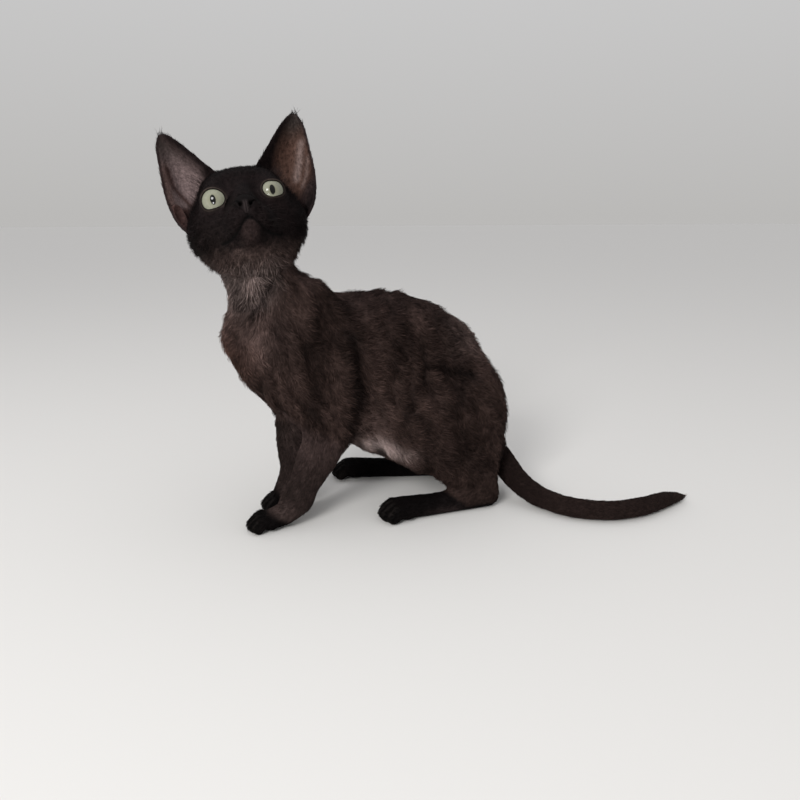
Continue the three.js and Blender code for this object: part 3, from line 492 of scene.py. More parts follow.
def press_skin():
    """The skin gives way under the eyes, the lids and the nose leather."""
    points = skin.points
    skin.beside_eye = np.full(len(points), 99.0)
    for eye in EYES:
        radius, out, _ = eye.polar(points)
        near = (radius < 15) & (radius > PRESSED_RADIUS) & (out < 12)
        low = PRESSED_RADIUS + (radius - PRESSED_RADIUS) * ease(0.3, 1.9, out)
        pressed = np.where(near, np.minimum(radius, low), radius)
        points = eye.centre + (points - eye.centre) * (pressed / np.maximum(radius, 1e-6))[:, None]
        skin.beside_eye = np.minimum(skin.beside_eye, np.where(radius < 19, out, 99))
    f, l, u = in_head(points).T
    skin.under_leather = ease(-0.4, 0.8, leather_margin(l, u)) * (f > 28) * is_head
    skin.points = points - forward * (PRESSED_NOSE * skin.under_leather)[:, None]
    set_skin(skin.mesh)
    skin.design = skin.points - design_shift
    skin.head = in_head(skin.points)


# Tones are those that the coat shows. In the studio's light it shows this share of its own colour.
SEEN = 0.62


def srgb(r, g, b):
    c = np.array((r, g, b)) / 255
    return np.where(c <= 0.04045, c / 12.92, ((c + 0.055) / 1.055) ** 2.4)


def seen(r, g, b):
    return srgb(r, g, b) / SEEN


BODY = seen(42, 32, 29)
BACK = seen(38, 29, 27)
BACK_SHEEN = seen(66, 55, 52)
LIGHT = seen(65, 53, 50)
THROAT = seen(86, 75, 72)
RUST = seen(70, 49, 42)
FACE = seen(17, 12, 12)
LIT_CHEEK = seen(23, 18, 17)
CHIN = seen(34, 26, 25)
UNDER_JAW = seen(60, 49, 46)
LEG = seen(56, 45, 43)
FAR_LEG = seen(36, 29, 27)
PAW = seen(7, 5, 5)
TOE_HIGHLIGHT = seen(20, 17, 16)
SOLE = seen(36, 29, 28)
TAIL = seen(33, 25, 23)
PALE_EAR = seen(83, 71, 70)
RED_EAR = seen(58, 42, 36)
EAR_TOP = seen(36, 31, 29)
EAR_BAND = seen(40, 32, 31)
EAR_STRIP = seen(92, 74, 70)
EAR_SHEEN = seen(96, 82, 78)
EAR_FOLD_SHADE = seen(40, 25, 22)
EAR_RIM = seen(25, 19, 19)
LEATHER = seen(10, 8, 8)
SEPTUM = seen(34, 29, 29)
BELLY_SKIN = seen(150, 134, 130)
LID_EDGE = seen(15, 12, 11)
LID_RIDGE = seen(58, 50, 44)
WISP = seen(120, 110, 102)

# The paws: the middle of the palm, the way its toes point along the floor, and its size.
PAWS = [
    (-83, -23, 5, -1, -0.02, 1.04),
    (-71, 5, 4.6, -1, 0.02, 1.04),
    (-7, -32, 7, -0.999, -0.038, 1.18),
    (-17, 43, 7, -0.98, 0.19, 1.18),
]
TOE_STEP = 3.4
TOE_LENGTH = 16
TOE_FAN = 0.03

# Where the black of the forepaws ends at floor level, near and far, and how it slopes up to the toes.
NEAR_PAW_END = -64
FAR_PAW_END = -52
PAW_SLOPE = 0.56

MOUTH_TOP = -13
MOUTH_DROP = 7.4
MOUTH_WIDTH = 5.6
MOUTH_CORNER = 17.5

# Soft creases of the coat, painted darker as shade, and pale patches, partly paler coat and partly painted
# highlights, seen from the side: two ends in x and z, how wide, and how much darker or lighter.
CREASE_SHADE_AND_HIGHLIGHTS = [
    (-34, 106, -32, 72, 3.4, -0.74), (-32, 72, -39, 48, 3, -0.75), (-71, 143, -79, 134, 2.1, -0.85),
    (-79, 134, -86, 121, 2, -0.75), (-85.5, 149, -87.5, 134, 1.5, 0.9), (44, 15, 51, 5, 1.5, -0.6),
    (-36, 128, -38, 100, 7, -0.41), (8, 88, 37, 82, 2.4, -0.68), (6, 104, 6, 80, 2.4, -0.54),
    (4, 82, -6, 60, 2.2, -0.47), (17, 110, 26, 100, 5, -0.34), (26, 74, 22, 62, 4, -0.41),
    (-72, 112, -76, 100, 5, -0.34), (34, 40, 44, 30, 6, -0.41), (-87, 108, -84, 100, 5, 0.49),
    (-72, 74, -64, 60, 6, 0.35), (-64, 137, -62, 121, 7, 0.35), (-48, 128, -51, 110, 8, -0.4),
    (-60, 102, -56, 80, 7, -0.32), (18, 86, 38, 76, 8, -0.45), (10, 60, 26, 48, 9, -0.25),
    (46, 84, 50, 60, 8, 0.5), (-96, 112, -92, 92, 9, 0.25), (-80, 112, -70, 84, 8, 0.22),
    (-66, 50, -72, 30, 6, 0.15), (-2, 62, 8, 50, 8, -0.14), (5, 66, 10, 60, 5, 0.63),
    (-13, 68, -10, 62, 4.5, 0.56), (13, 84, 18, 78, 2.6, 0.56), (0, 117, 4, 113, 4, 0.42),
    (-26, 92, -22, 60, 6, 0.28), (24, 52, 12, 38, 7, 0.21),
]


def mouth_height(l):
    return MOUTH_TOP - MOUTH_DROP * (1 - np.exp(-((l / MOUTH_WIDTH) ** 2)))


# The edges of an ear seen from the front: height up the head and distance from its middle. Each ear is
# stretched a little from them, across from its root and up.
INNER_EDGE = ((14, 6), (20.5, 10), (27.6, 15.8), (36, 22.5), (43.2, 28.7), (47.2, 33), (48.8, 36.2))
OUTER_EDGE = ((-17, 20), (-12, 30), (-1, 38), (12, 41.2), (28, 41.2), (41, 40.8), (48.4, 38.2))
LEFT_STRETCH = (1, 1.01)
RIGHT_STRETCH = (0.92, 0.98)
EAR_ROOT = 8
EDGE_LEAN = 0.77
HEAD_FUR_EDGE = {
    1: ((-6, 29), (2, 29), (8, 26), (14, 23), (20, 20), (26, 20.7), (33, 24.3), (43, 29.6), (49, 35)),
    -1: ((-6, 27), (4, 28), (10, 26.3), (15, 22.7), (20, 17), (26, 16.5), (36, 24), (44, 31), (49, 36)),
}


def right_ear_inside(l, u, from_inner):
    """Pale, with a dark band along the inner edge, a light strip, and painted shade along a reddish fold
    and in the pouch.
    """
    colour = mix(PALE_EAR, EAR_TOP, ease(27, 45, u))
    colour = mix(colour, EAR_BAND, ease(7.5, 3, from_inner) * 0.75)
    colour = mix(colour, EAR_STRIP, ease(-33.5, -36, l) * ease(36, 26, u) * 0.9)
    # Painted shade along the fold and in the pouch.
    fold = near_path(l, u, (-35, 30), (-33.7, 19.8), (-29, 13), (-25.5, 8))
    colour = mix(colour, EAR_FOLD_SHADE, bump(fold, 0, 1.3) * 0.8)
    return mix(colour, EAR_FOLD_SHADE * 0.8, ease(11, 7, u) * ease(-26, -29, l) * 0.9)


def left_ear_inside(l, u):
    """Reddish, with two pale sheens down it, dark at the root, and painted shade in the pouch."""
    colour = mix(RED_EAR, EAR_TOP, ease(32, 45, u))
    sheen = near_path(l, u, (37.6, 33), (34.8, 23.4), (31.8, 15.5))
    colour = mix(colour, EAR_SHEEN, bump(sheen, 0, 1.9) * 0.85)
    sheen = near_path(l, u, (39.3, 24), (37, 15.5), (33.6, 10))
    colour = mix(colour, EAR_SHEEN, bump(sheen, 0, 1) * 0.5)
    above_root = u - 1.2 * (l - 33)
    colour = mix(colour, EAR_RIM * 1.3, ease(13, 3, above_root) * 0.9)
    colour = mix(colour, EAR_RIM * 0.4, ease(3, -3, above_root))
    # Painted shade in the pouch.
    return mix(colour, EAR_RIM, bump(np.hypot(l - 38.5, u - 4), 0, 3.5) * 0.85)


def ear_colours(head_colour):
    """The ears seen from the front: bare skin inside a dark rim, and the head's coat at the root."""
    _, l, u = skin.head.T
    is_left = l > 0
    wide, tall = (np.where(is_left, *pair) for pair in zip(LEFT_STRETCH, RIGHT_STRETCH))
    across = EAR_ROOT + (abs(l) - EAR_ROOT) / wide
    from_outer = np.interp(u / tall, *zip(*OUTER_EDGE)) - across
    from_inner = (across - np.interp(u / tall, *zip(*INNER_EDGE))) * EDGE_LEAN
    fur_edge = np.where(is_left, *(np.interp(u, *zip(*HEAD_FUR_EDGE[side])) for side in (1, -1)))
    inside = np.where(is_left[:, None], left_ear_inside(l, u), right_ear_inside(l, u, from_inner))
    streaks = 1 + 0.1 * soft_noise(skin.head * (0.5, 1.6, 0.3), 3.5) + 0.06 * soft_noise(skin.head, 3)
    rim = np.maximum(ease(2, 0.6, from_outer), ease(3.2, 0.8, from_inner))
    inside = mix(inside * streaks[:, None], EAR_RIM, rim * 0.9)
    return mix(head_colour, inside, ease(-2, 3.2, abs(l) - fur_edge))


def trunk_colours():
    x, _, z = skin.design.T
    facing_up = skin.normals[:, 2]
    colour = mix(BODY, BACK, ease(0.2, 0.9, facing_up))
    # A painted sheen on the top of the back towards the rump, where the coat catches the light.
    colour = mix(colour, BACK_SHEEN, bump(x, 38, 14) * ease(84, 104, z) * 0.7)
    belly = ease(86, 44, z) * ease(0.3, -0.5, facing_up)
    colour = mix(colour, LIGHT, belly * ease(-42, -36, x) * ease(8, -12, x) * 0.6)
    colour = mix(colour, LIGHT, bump(x, -90, 20) * bump(z, 112, 22) * 0.6)
    colour = mix(colour, RUST, bump(x, -104, 12) * bump(z, 96, 13) * 0.7)
    throat = ease(112, 132, z) * ease(-64, -84, x) * ease(0.5, -0.2, facing_up)
    colour = mix(colour, THROAT, throat * 0.9)
    bare = bump(x, -18, 10) * bump(z, 41, 5) * ease(0.2, -0.2, facing_up)
    return mix(colour, BELLY_SKIN, bare * 0.75)


def coat_tones():
    """How much painted shade in creases, painted highlights on pale patches, painted light and shade on
    the ripples, and clumps of hair lighten or darken the coat.
    """
    x, _, z = skin.design.T
    beside = ease(0.2, 0.6, abs(skin.normals[:, 1]))
    tone = np.ones(len(x))
    for ax, az, bx, bz, width, strength in CREASE_SHADE_AND_HIGHLIGHTS:
        tone *= 1 + strength * bump(near_line(x, z, ax, az, bx, bz), 0, width) * beside
    stretched = skin.design * (1, 0.6, 0.45)
    # Painted light and shade on the ripples, lighter on their crests and darker in their troughs; the
    # waves of noise are clumps that differ at random.
    tone *= 1 + 0.16 * skin.ripple + 0.2 * soft_noise(stretched, 12) + 0.14 * soft_noise(skin.design, 30)
    tone *= 1 + 0.18 * soft_noise(stretched, 5, 16)
    return np.clip(tone, 0.2, 2.2)


def foreleg_colours():
    x, y, z = skin.design.T
    # The far leg is painted darker, as shade; both legs also darken towards the paws.
    colour = mix(LEG, FAR_LEG, ease(0, 12, y))
    colour = mix(colour, FAR_LEG, ease(60, 20, z) * 0.7)
    paw_end = np.where(y > -5, FAR_PAW_END, NEAR_PAW_END)
    return mix(colour, PAW, ease(2.2, -2.2, z + PAW_SLOPE * (x - paw_end)))


def hind_foot_colours():
    """Black, apart from the ankle and a paler strip along the sole of the near foot, and darker on the far
    foot as painted shade.
    """
    x, y, z = skin.design.T
    ankle = np.minimum((x - 21) * 0.58 + (z - 12.6) * 0.815, z - 4)
    colour = mix(BODY * 0.72, PAW, ease(1.5, -1.5, ankle))
    sole = bump(x, 18, 12) * bump(z, 3.5, 2.5) * ease(-31, -36, y)
    colour = mix(colour, SOLE, sole * 0.6)
    # Painted shade: the far foot is darker.
    return mix(colour, PAW * 0.8, ease(4, 16, y))


def toe_highlights():
    """Where the toes are, and how near each point is to the middle of its toe's back, for a painted
    highlight along each toe and painted shade in the creases between them.
    """
    shown, share = np.zeros((2, len(skin.design)))
    for *palm, way_x, way_y, scale in PAWS:
        from_palm = (skin.design - palm)[:, :2]
        along = from_palm @ (way_x, way_y)
        across = from_palm @ (way_y, -way_x) / (TOE_STEP * scale * (1 + TOE_FAN * along))
        mine = ease(3, 8, along) * (along < TOE_LENGTH) * (abs(across) < 2.6)
        share = np.where(mine > 0, 0.5 - 0.5 * np.cos(2 * math.pi * across), share)
        shown = np.maximum(shown, mine)
    return shown * ease(15, 12, skin.design[:, 2]), share


def jaw_height():
    """Height up the head along the slope of the jaw, under which the coat is pale and longer."""
    f, l, u = skin.head.T
    return u + 0.1 * f - 0.12 * abs(l)


def head_colours():
    f, l, u = skin.head.T
    # Painted light: the cheek on the head's right, the side that the key falls on, is lighter.
    cheek = ease(-8, -18, u) * ease(-6, -16, l) * ease(26, 18, f)
    colour = mix(FACE, LIT_CHEEK, cheek * 0.8)
    colour = mix(colour, BODY, ease(-2, -22, f))
    below = jaw_height() + 0.9 * soft_noise(skin.head, 5)
    colour = mix(colour, UNDER_JAW, ease(-20, -28, below))
    colour = mix(colour, THROAT, ease(-27, -33, below) * ease(18, 6, abs(l + 2)))
    lip = mouth_height(l)
    chin = ease(lip - 0.3, lip - 1.8, u) * ease(18, 23, f)
    chin *= ease(6, 2, abs(l + 0.7)) * ease(-31, -20, u)
    colour = mix(colour, CHIN, chin)
    # A painted shadow along the upper edge of the nose leather.
    shadow_over_nose = bump(leather_margin(l, u), -0.7, 0.8) * (f > 26) * (u > -8)
    colour = mix(colour, PAW, shadow_over_nose * 0.7)
    column = bump(l, NOSE_MIDDLE, 1.6) * bump(u, -10.5, 2.4) * (f > 26)
    colour = mix(colour, SEPTUM * 0.8, column * 0.6)
    # Painted shade in the furrow that runs down from the nose to the mouth.
    groove_shade = bump(l, -0.2, 0.5) * (f > 28) * ease(-9, -10, u) * ease(-13.5, -12.5, u)
    colour = mix(colour, PAW * 0.5, groove_shade * 0.8)
    # A dark line along the mouth: partly the dark lips, partly painted shade in the seam between them.
    colour = mix(colour, PAW * 0.35, (f > MOUTH_CORNER) * bump(u, lip, 0.8))
    grain = 1 + 0.12 * soft_noise(skin.head, 9) + 0.18 * soft_noise(skin.head, 3.2, 16)
    colour = colour * grain[:, None]
    facing = ease(-0.1, 0.35, skin.normals @ forward)
    return mix(colour, mix(EAR_RIM, ear_colours(colour), facing), is_ear)


def skin_colours():
    colour = mix(trunk_colours(), foreleg_colours(), is_foreleg)
    colour = mix(colour, hind_foot_colours(), is_hind_foot)
    limbs = is_foreleg + is_hind_foot
    shown, share = toe_highlights()
    # Painted highlights along the backs of the toes and painted shade in the creases between them.
    colour = mix(colour, mix(PAW * 0.5, TOE_HIGHLIGHT, share), shown * limbs)
    colour = mix(colour, TAIL, is_tail)
    colour = mix(colour, TAIL * 0.6, is_tail * ease(80, 66, skin.design[:, 0]) * 0.7)
    colour = mix(colour, colour * coat_tones()[:, None], np.maximum(is_trunk, 0.7 * limbs))
    return mix(colour, head_colours(), is_head)


press_skin()
skin.colours = skin_colours()


# Materials.
def new_material(name):
    material = bpy.data.materials.new(name)
    material.use_nodes = True
    tree = material.node_tree
    return material, tree, tree.nodes["Principled BSDF"]


def node(tree, kind, **values):
    made = tree.nodes.new(kind)
    for key, value in values.items():
        socket = key.replace("_", " ")
        if socket in made.inputs:
            made.inputs[socket].default_value = value
        else:
            setattr(made, key, value)
    return made


def set_inputs(made, **values):
    for key, value in values.items():
        made.inputs[key.replace("_", " ")].default_value = value


def link(tree, a, output, b, socket):
    tree.links.new(a.outputs[output], b.inputs[socket])


def scaled(tree, colour, output, factor, factor_output):
    made = node(tree, "ShaderNodeVectorMath", operation="SCALE")
    link(tree, colour, output, made, 0)
    link(tree, factor, factor_output, made, "Scale")
    return made


def marked_material(name, grain, scale, contrast, depth, **shading):
    """Colour from the piece's own markings, painted light and shade among them, broken up by a fine grain
    that also lifts the surface.
    """
    material, tree, shader = new_material(name)
    marking_and_painted_light = node(tree, "ShaderNodeAttribute", attribute_name="marking_and_painted_light")
    place = node(tree, "ShaderNodeTexCoord")
    texture = node(tree, grain, Scale=scale)
    link(tree, place, "Object", texture, "Vector")
    output = "Distance" if grain == "ShaderNodeTexVoronoi" else "Fac"
    shade = node(tree, "ShaderNodeMapRange", From_Min=0.3, From_Max=0.7)
    set_inputs(shade, To_Min=1 - contrast, To_Max=1 + contrast)
    link(tree, texture, output, shade, "Value")
    link(tree, scaled(tree, marking_and_painted_light, "Color", shade, "Result"), "Vector", shader, "Base Color")
    relief = node(tree, "ShaderNodeBump", Strength=0.6, Distance=depth * MM)
    link(tree, texture, output, relief, "Height")
    link(tree, relief, "Normal", shader, "Normal")
    set_inputs(shader, **shading)
    return material


FUR = {"Roughness": 0.7, "Specular_IOR_Level": 0.04}
LEATHER_GLOSS = {"Roughness": 0.65, "Specular_IOR_Level": 0.03}
skin_fur = marked_material("skin_fur", "ShaderNodeTexNoise", 900, 0.25, 0.5, **FUR)
tuft_fur = marked_material("tuft_fur", "ShaderNodeTexNoise", 400, 0.2, 0.05, **FUR)
leather = marked_material("nose_leather", "ShaderNodeTexVoronoi", 2600, 0.1, 0.1, **LEATHER_GLOSS)
SHADE = 0.25


def show_skin():
    """The skin is painted a little darker than the tufts over it, as shade between them, apart from where
    head and neck meet.
    """
    _, l, u = skin.head.T
    seam = ease(-22, -28, u) * ease(-50, -44, u) * ease(30, 24, abs(l))
    shade = SHADE * np.clip(is_trunk + is_head * (1 - is_ear), 0, 1) * (1 - seam)
    paint(skin.mesh, skin.colours * (1 - shade)[:, None])
    skin.mesh.polygons.foreach_set("use_smooth", np.ones(len(skin.mesh.polygons), bool))
    show(in_scene("skin", skin.mesh), skin_fur, FLESH)


def show_lids():
    for eye, (points, upper) in zip(EYES, lids):
        out = np.broadcast_to(np.array(LID_ROWS)[:, None], upper.shape).ravel()
        colour = mix(FACE, LID_EDGE, ease(1.8, 1.2, out) * 0.7)
        colour = mix(colour, LID_RIDGE, bump(out, 0.7, 0.25) * (0.1 + 0.6 * upper.ravel()))
        colour = mix(colour, LID_EDGE, ease(0.45, 0.2, out))
        name = eye.name.replace("eye", "lids")
        piece = new_object(name, points.reshape(-1, 3), grid_faces(*upper.shape, closed=True))
        paint(piece.data, colour)
        show(piece, skin_fur)


def show_nose():
    points, colours = nose_patch()
    piece = new_object("nose_leather", points.reshape(-1, 3), grid_faces(*points.shape[:2]))
    paint(piece.data, colours)
    show(piece, leather)


show_skin()
show_lids()
show_nose()


# The lie of the coat: from the nose back over the body, and down the legs and the tail. Each line is a
# run of points, and hair near it lies along it. Those of the head are in the axes of the head.
def both_sides(*stations):
    return [[(a, side * b, c) for a, b, c in stations] for side in (1, -1)]


HEAD_LIES = [
    [(37, 0, -4), (24, 0, 10), (4, 0, 23), (-18, 0, 16), (-26, 0, -6)],
    *both_sides((34, 7, -10), (22, 20, -8), (4, 27, -10), (-14, 24, -12), (-24, 12, -16)),
    *both_sides((32, 6, -16), (20, 14, -22), (4, 20, -26), (-10, 16, -30)),
    [(30, 0, -20), (18, 0, -26), (4, 0, -32)],
    [(0, 12, 14), (-2, 24, 30), (-5, 37, 50)],
    [(0, -12, 14), (-2, -24, 30), (-5, -35, 49)],
    [(4, 30, -8), (0, 38, 8), (-4, 41, 30), (-5, 38, 50)],
    [(4, -28, -8), (0, -36, 8), (-4, -38, 30), (-5, -35, 49)],
]
BODY_LIES = [
    [(-62, 0, 165), (-58, 0, 140), (-40, 0, 130), (-6, 0, 131), (30, 0, 112), (58, 0, 74), (66, 0, 40)],
    [(-60, -24, 150), (-62, -26, 128), (-40, -36, 108), (0, -42, 92), (34, -38, 78), (56, -30, 52)],
    [(-60, 26, 150), (-62, 26, 128), (-40, 36, 108), (0, 42, 92), (34, 38, 78), (56, 30, 52)],
    [(-92, -14, 140), (-100, -12, 116), (-104, -8, 96), (-94, -8, 76), (-70, -8, 58)],
    [(-92, 18, 140), (-100, 12, 116), (-104, 8, 96), (-94, 8, 76), (-70, 8, 58)],
    *both_sides((-60, -30, 78), (-30, -38, 62), (0, -42, 56), (24, -40, 40), (40, -36, 24)),
    [(-60, 0, 50), (-30, 0, 38), (0, 0, 24), (30, 0, 22)],
    [(-70, -26, 92), (-50, -28, 60), (-54, -24, 36), (-64, -22, 14), (-90, -24, 4)],
    [(-70, 26, 92), (-64, 24, 60), (-64, 20, 36), (-64, 16, 14), (-82, 14, 4)],
    [(46, -32, 18), (28, -32, 8), (4, -32, 7), (-22, -33, 5)],
    [(40, 30, 18), (20, 34, 8), (-4, 40, 7), (-32, 46, 5)],
    [(60, -2, 34), (70, -28, 13), (78, -46, 9), (89, -62, 6), (107, -72, 6), (127, -72, 6), (146, -66, 5),
     (165, -60, 4), (178, -56, 4)],
]
LIES = [[on_head(*place) - design_shift for place in line] for line in HEAD_LIES] + BODY_LIES
LIE_STEP = 9
LIE_BLEND = 7
AT_ONCE = 20000


def lie_of(points, normals):
    """The way that the coat lies at each point: a mean of the lines' ways, flat on the skin."""
    places, ways = [], []
    for line in LIES:
        for a, b in zip(line, line[1:]):
            a, b = np.array(a, float), np.array(b, float)
            steps = max(1, round(np.linalg.norm(b - a) / LIE_STEP))
            places += [a + (b - a) * (n + 0.5) / steps for n in range(steps)]
            ways += [unit(b - a)] * steps
    places, ways = np.array(places), np.array(ways)
    found = np.empty_like(points)
    for start in range(0, len(points), AT_ONCE):
        part = slice(start, start + AT_ONCE)
        far = ((points[part, None, :] - places[None]) ** 2).sum(-1)
        found[part] = unit((1 / (far + LIE_BLEND**2) ** 2.5) @ ways)
    return unit(found - normals * (found * normals).sum(-1, keepdims=True))


def fur_size():
    """How long the hair is at each point, as a share of its coat's length."""
    f, l, u = skin.head.T
    x, _, z = skin.design.T
    facing_up = skin.normals[:, 2]
    size = np.where(is_head > 0.5, 0.55 + 0.45 * ease(26, 8, f), 1)
    size *= ease(1.2, 8, skin.beside_eye) * 0.75 + 0.25
    size = np.where(skin.beside_eye < 1.2, 0, size)
    cheek = is_head * ease(-4, -20, u) * ease(16, 26, abs(l)) * ease(20, 6, f)
    jaw = is_head * ease(-20, -30, u) * ease(24, 10, f)
    crown = is_head * ease(11, 17, u) * ease(18, 10, f)
    beside_ear = is_head * bump(abs(l), 24, 4.5) * bump(f, 3, 9)
    beside_ear *= ease(-10, -4, u) * ease(26, 18, u)
    size *= (1 + 1.5 * cheek) * (1 + 1.1 * jaw) * (1 + 0.5 * crown) * (1 + 1.1 * beside_ear)
    size *= 1 - 0.45 * is_trunk * ease(-0.2, -0.8, facing_up) * ease(-50, -30, x)
    size *= 1 - 0.25 * is_trunk * ease(0.4, 0.9, facing_up) * ease(30, 10, x)
    size *= 1 + 0.6 * is_trunk * ease(112, 126, z) * ease(-66, -80, x)
    size *= 1 - 0.35 * is_ear * ease(-0.1, 0.35, skin.normals @ forward)
    underfoot = (skin.points[:, 2] < 2.5) & (facing_up < -0.3)
    lips = is_head * (f > MOUTH_CORNER) * bump(u, mouth_height(l), 0.6)
    return np.where(underfoot | (lips > 0.4) | (skin.under_leather > 0.02), 0, size)


def jaw_fur_size():
    """The same for the longer hair over the seam of jaw and throat."""
    below = jaw_height()
    size = is_head * (1 - is_ear) * ease(-20, -26, below) * ease(24, 14, skin.head[:, 0])
    return size * (1 + 0.6 * ease(-26, -32, below))


skin.lie = lie_of(skin.design, skin.normals)
skin.fur = fur_size()
skin.jaw_fur = jaw_fur_size()
furry = is_trunk + 0.5 * is_head * (1 - is_ear)
skin.swirl = furry * soft_noise(skin.points, 17)
skin.stand = furry * soft_noise(skin.points, 9)


# Tufts. Each is a thin closed sliver of three sides: short ones are straight, longer ones bend. A coat
# has its tufts' length and width, the gap between them, how steeply they stand, their segments, how much
# paler some of them are, and which of the skin's sizes they go by.
Coat = namedtuple("Coat", "name nodes length width gap lift segments pale size", defaults=(0.0, "fur"))
BODY_NODES = {
    "front": ("neck", "chest", "upper_foreleg"),
    "middle": ("belly",),
    "rear": ("rump", "thigh", "lower_hind_leg"),
}
COATS = [
    *(Coat(f"coat_{part}", starts, 4.2, 0.34, 0.74, 0.18, 1, 0.3) for part, starts in BODY_NODES.items()),
    *(Coat(f"top_{part}", starts, 5.6, 0.38, 1.3, 0.2, 2, 0.5) for part, starts in BODY_NODES.items()),
    Coat("top_jaw", ("head",), 5.4, 0.36, 1.05, 0.22, 2, 0.5, "jaw_fur"),
    Coat("coat_head", ("head", "lower_jaw", "nose"), 2.8, 0.22, 0.5, 0.24, 1, 0.45),
    Coat("coat_ears", ("ear",), 2.4, 0.18, 0.72, 0.16, 1, 0.1),
    Coat("coat_legs", ("forearm",), 3.6, 0.3, 0.6, 0.18, 2, 0.2),
    Coat("coat_feet", ("forepaw", "hind_foot"), 2.2, 0.26, 0.5, 0.16, 1),
    Coat("coat_tail", ("tail",), 3.6, 0.32, 0.62, 0.16, 2, 0.2),
]
PATCH = 0.003
MOST_FACES = 190000
FLOOR_GAP = 0.05
SMALLEST = 0.12
ROOT_DEPTH = 0.12
SPREAD = 0.24
BEND = 0.12
CLUMP = 12
CLUMPING = 0.5
LENGTHS = (0.7, 1.2)
WIDTHS = (0.75, 1.2)
LIFTS = (0.5, 1.5)
SHADES = (0.7, 1.3)

triangles = np.concatenate([skin.faces[:, [0, 1, 2]], skin.faces[:, [0, 2, 3]]])
triangle_labels = skin.labels[triangles[:, 0]]


def scatter(starts, gap):
    """Places on the skin of some nodes: the three corners and their shares at each place."""
    wanted = [n for n, name in enumerate(FLESH) if name.startswith(starts)]
    mine = triangles[np.isin(triangle_labels, wanted)]
    a, b, c = (skin.points[mine[:, n]] for n in range(3))
    area = np.linalg.norm(np.cross(b - a, c - a), axis=1) / 2
    count = int(area.sum() / gap**2)
    steps = (np.arange(count) + random.uniform(0, 1, count)) / count
    chosen = np.searchsorted(np.cumsum(area) / area.sum(), steps).clip(0, len(mine) - 1)
    r = np.sqrt(random.uniform(0, 1, count))
    s = random.uniform(0, 1, count)
    return mine[chosen], np.stack([1 - r, r * (1 - s), r * s], 1)


def unwrap(points, labels):
    """An unwrap of the skin for baking: each node is rolled out round its longest side, on a tile."""
    names = sorted(set(labels.tolist()))
    tiles = math.ceil(math.sqrt(len(names)))
    uv = np.zeros((len(points), 2))
    for n, label in enumerate(names):
        mine = labels == label
        low, high = (np.array(corner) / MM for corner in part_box(FLESH[label]))
        size = high - low
        along = int(size.argmax())
        across = [axis for axis in range(3) if axis != along]
        p = (points[mine] - (low + high) / 2) / np.maximum(size, 1)
        around = np.arctan2(p[:, across[1]], p[:, across[0]]) / (2 * math.pi) + 0.5
        inside = np.stack([around, np.clip(p[:, along] + 0.5, 0, 1)], 1) * 0.94 + 0.03
        uv[mine] = (inside + np.array((n % tiles, n // tiles))) / tiles
    return uv


def sliver_faces(segments):
    """Triangles of a closed sliver: a ring of three corners for each segment, and a tip."""
    faces = [(0, 2, 1)]
    for ring in range(0, 3 * segments - 3, 3):
        for n in range(3):
            a, b = ring + n, ring + (n + 1) % 3
            faces += [(a, b, b + 3), (a, b + 3, a + 3)]
    last = 3 * segments - 3
    faces += [(last + n, last + (n + 1) % 3, last + 3) for n in range(3)]
    return np.array(faces)


def lay_slivers(name, points, tones, labels, segments):
    """Makes pieces of closed slivers, each sliver with its patch of the unwrap, at its root."""
    faces = sliver_faces(segments)
    count, corners = points.shape[:2]
    points[..., 2] = np.maximum(points[..., 2], FLOOR_GAP)
    angle = np.linspace(0, 2 * math.pi, corners, endpoint=False)
    patch = np.stack([np.cos(angle), np.sin(angle)], 1) * PATCH / 2
    uv = unwrap(points[:, 0], labels)[:, None] + patch
    pieces = math.ceil(count * len(faces) / MOST_FACES)
    for number, mine in enumerate(np.array_split(np.argsort(labels, kind="stable"), pieces), 1):
        all_faces = (faces + (np.arange(len(mine)) * corners)[:, None, None]).reshape(-1, 3)
        piece_name = name if pieces == 1 else f"{name}_{number}"
        piece = new_object(piece_name, points[mine].reshape(-1, 3), all_faces)
        paint(piece.data, tones[mine].reshape(-1, 3))
        layer = piece.data.uv_layers.new(name="OFBake")
        layer.data.foreach_set("uv", uv[mine].reshape(-1, 2)[all_faces.ravel()].astype(np.float32).ravel())
        show(piece, tuft_fur)


def drawn_together(roots, tips):
    """Tips of tufts drawn towards the tip of the nearest of a few of them."""
    few = random.permutation(len(roots))[:max(1, len(roots) // CLUMP)]
    tree = KDTree(len(few))
    for number, root in enumerate(roots[few].tolist()):
        tree.insert(root, number)
    tree.balance()
    nearest = few[[tree.find(root)[1] for root in roots.tolist()]]
    return tips + CLUMPING * (tips[nearest] - tips)


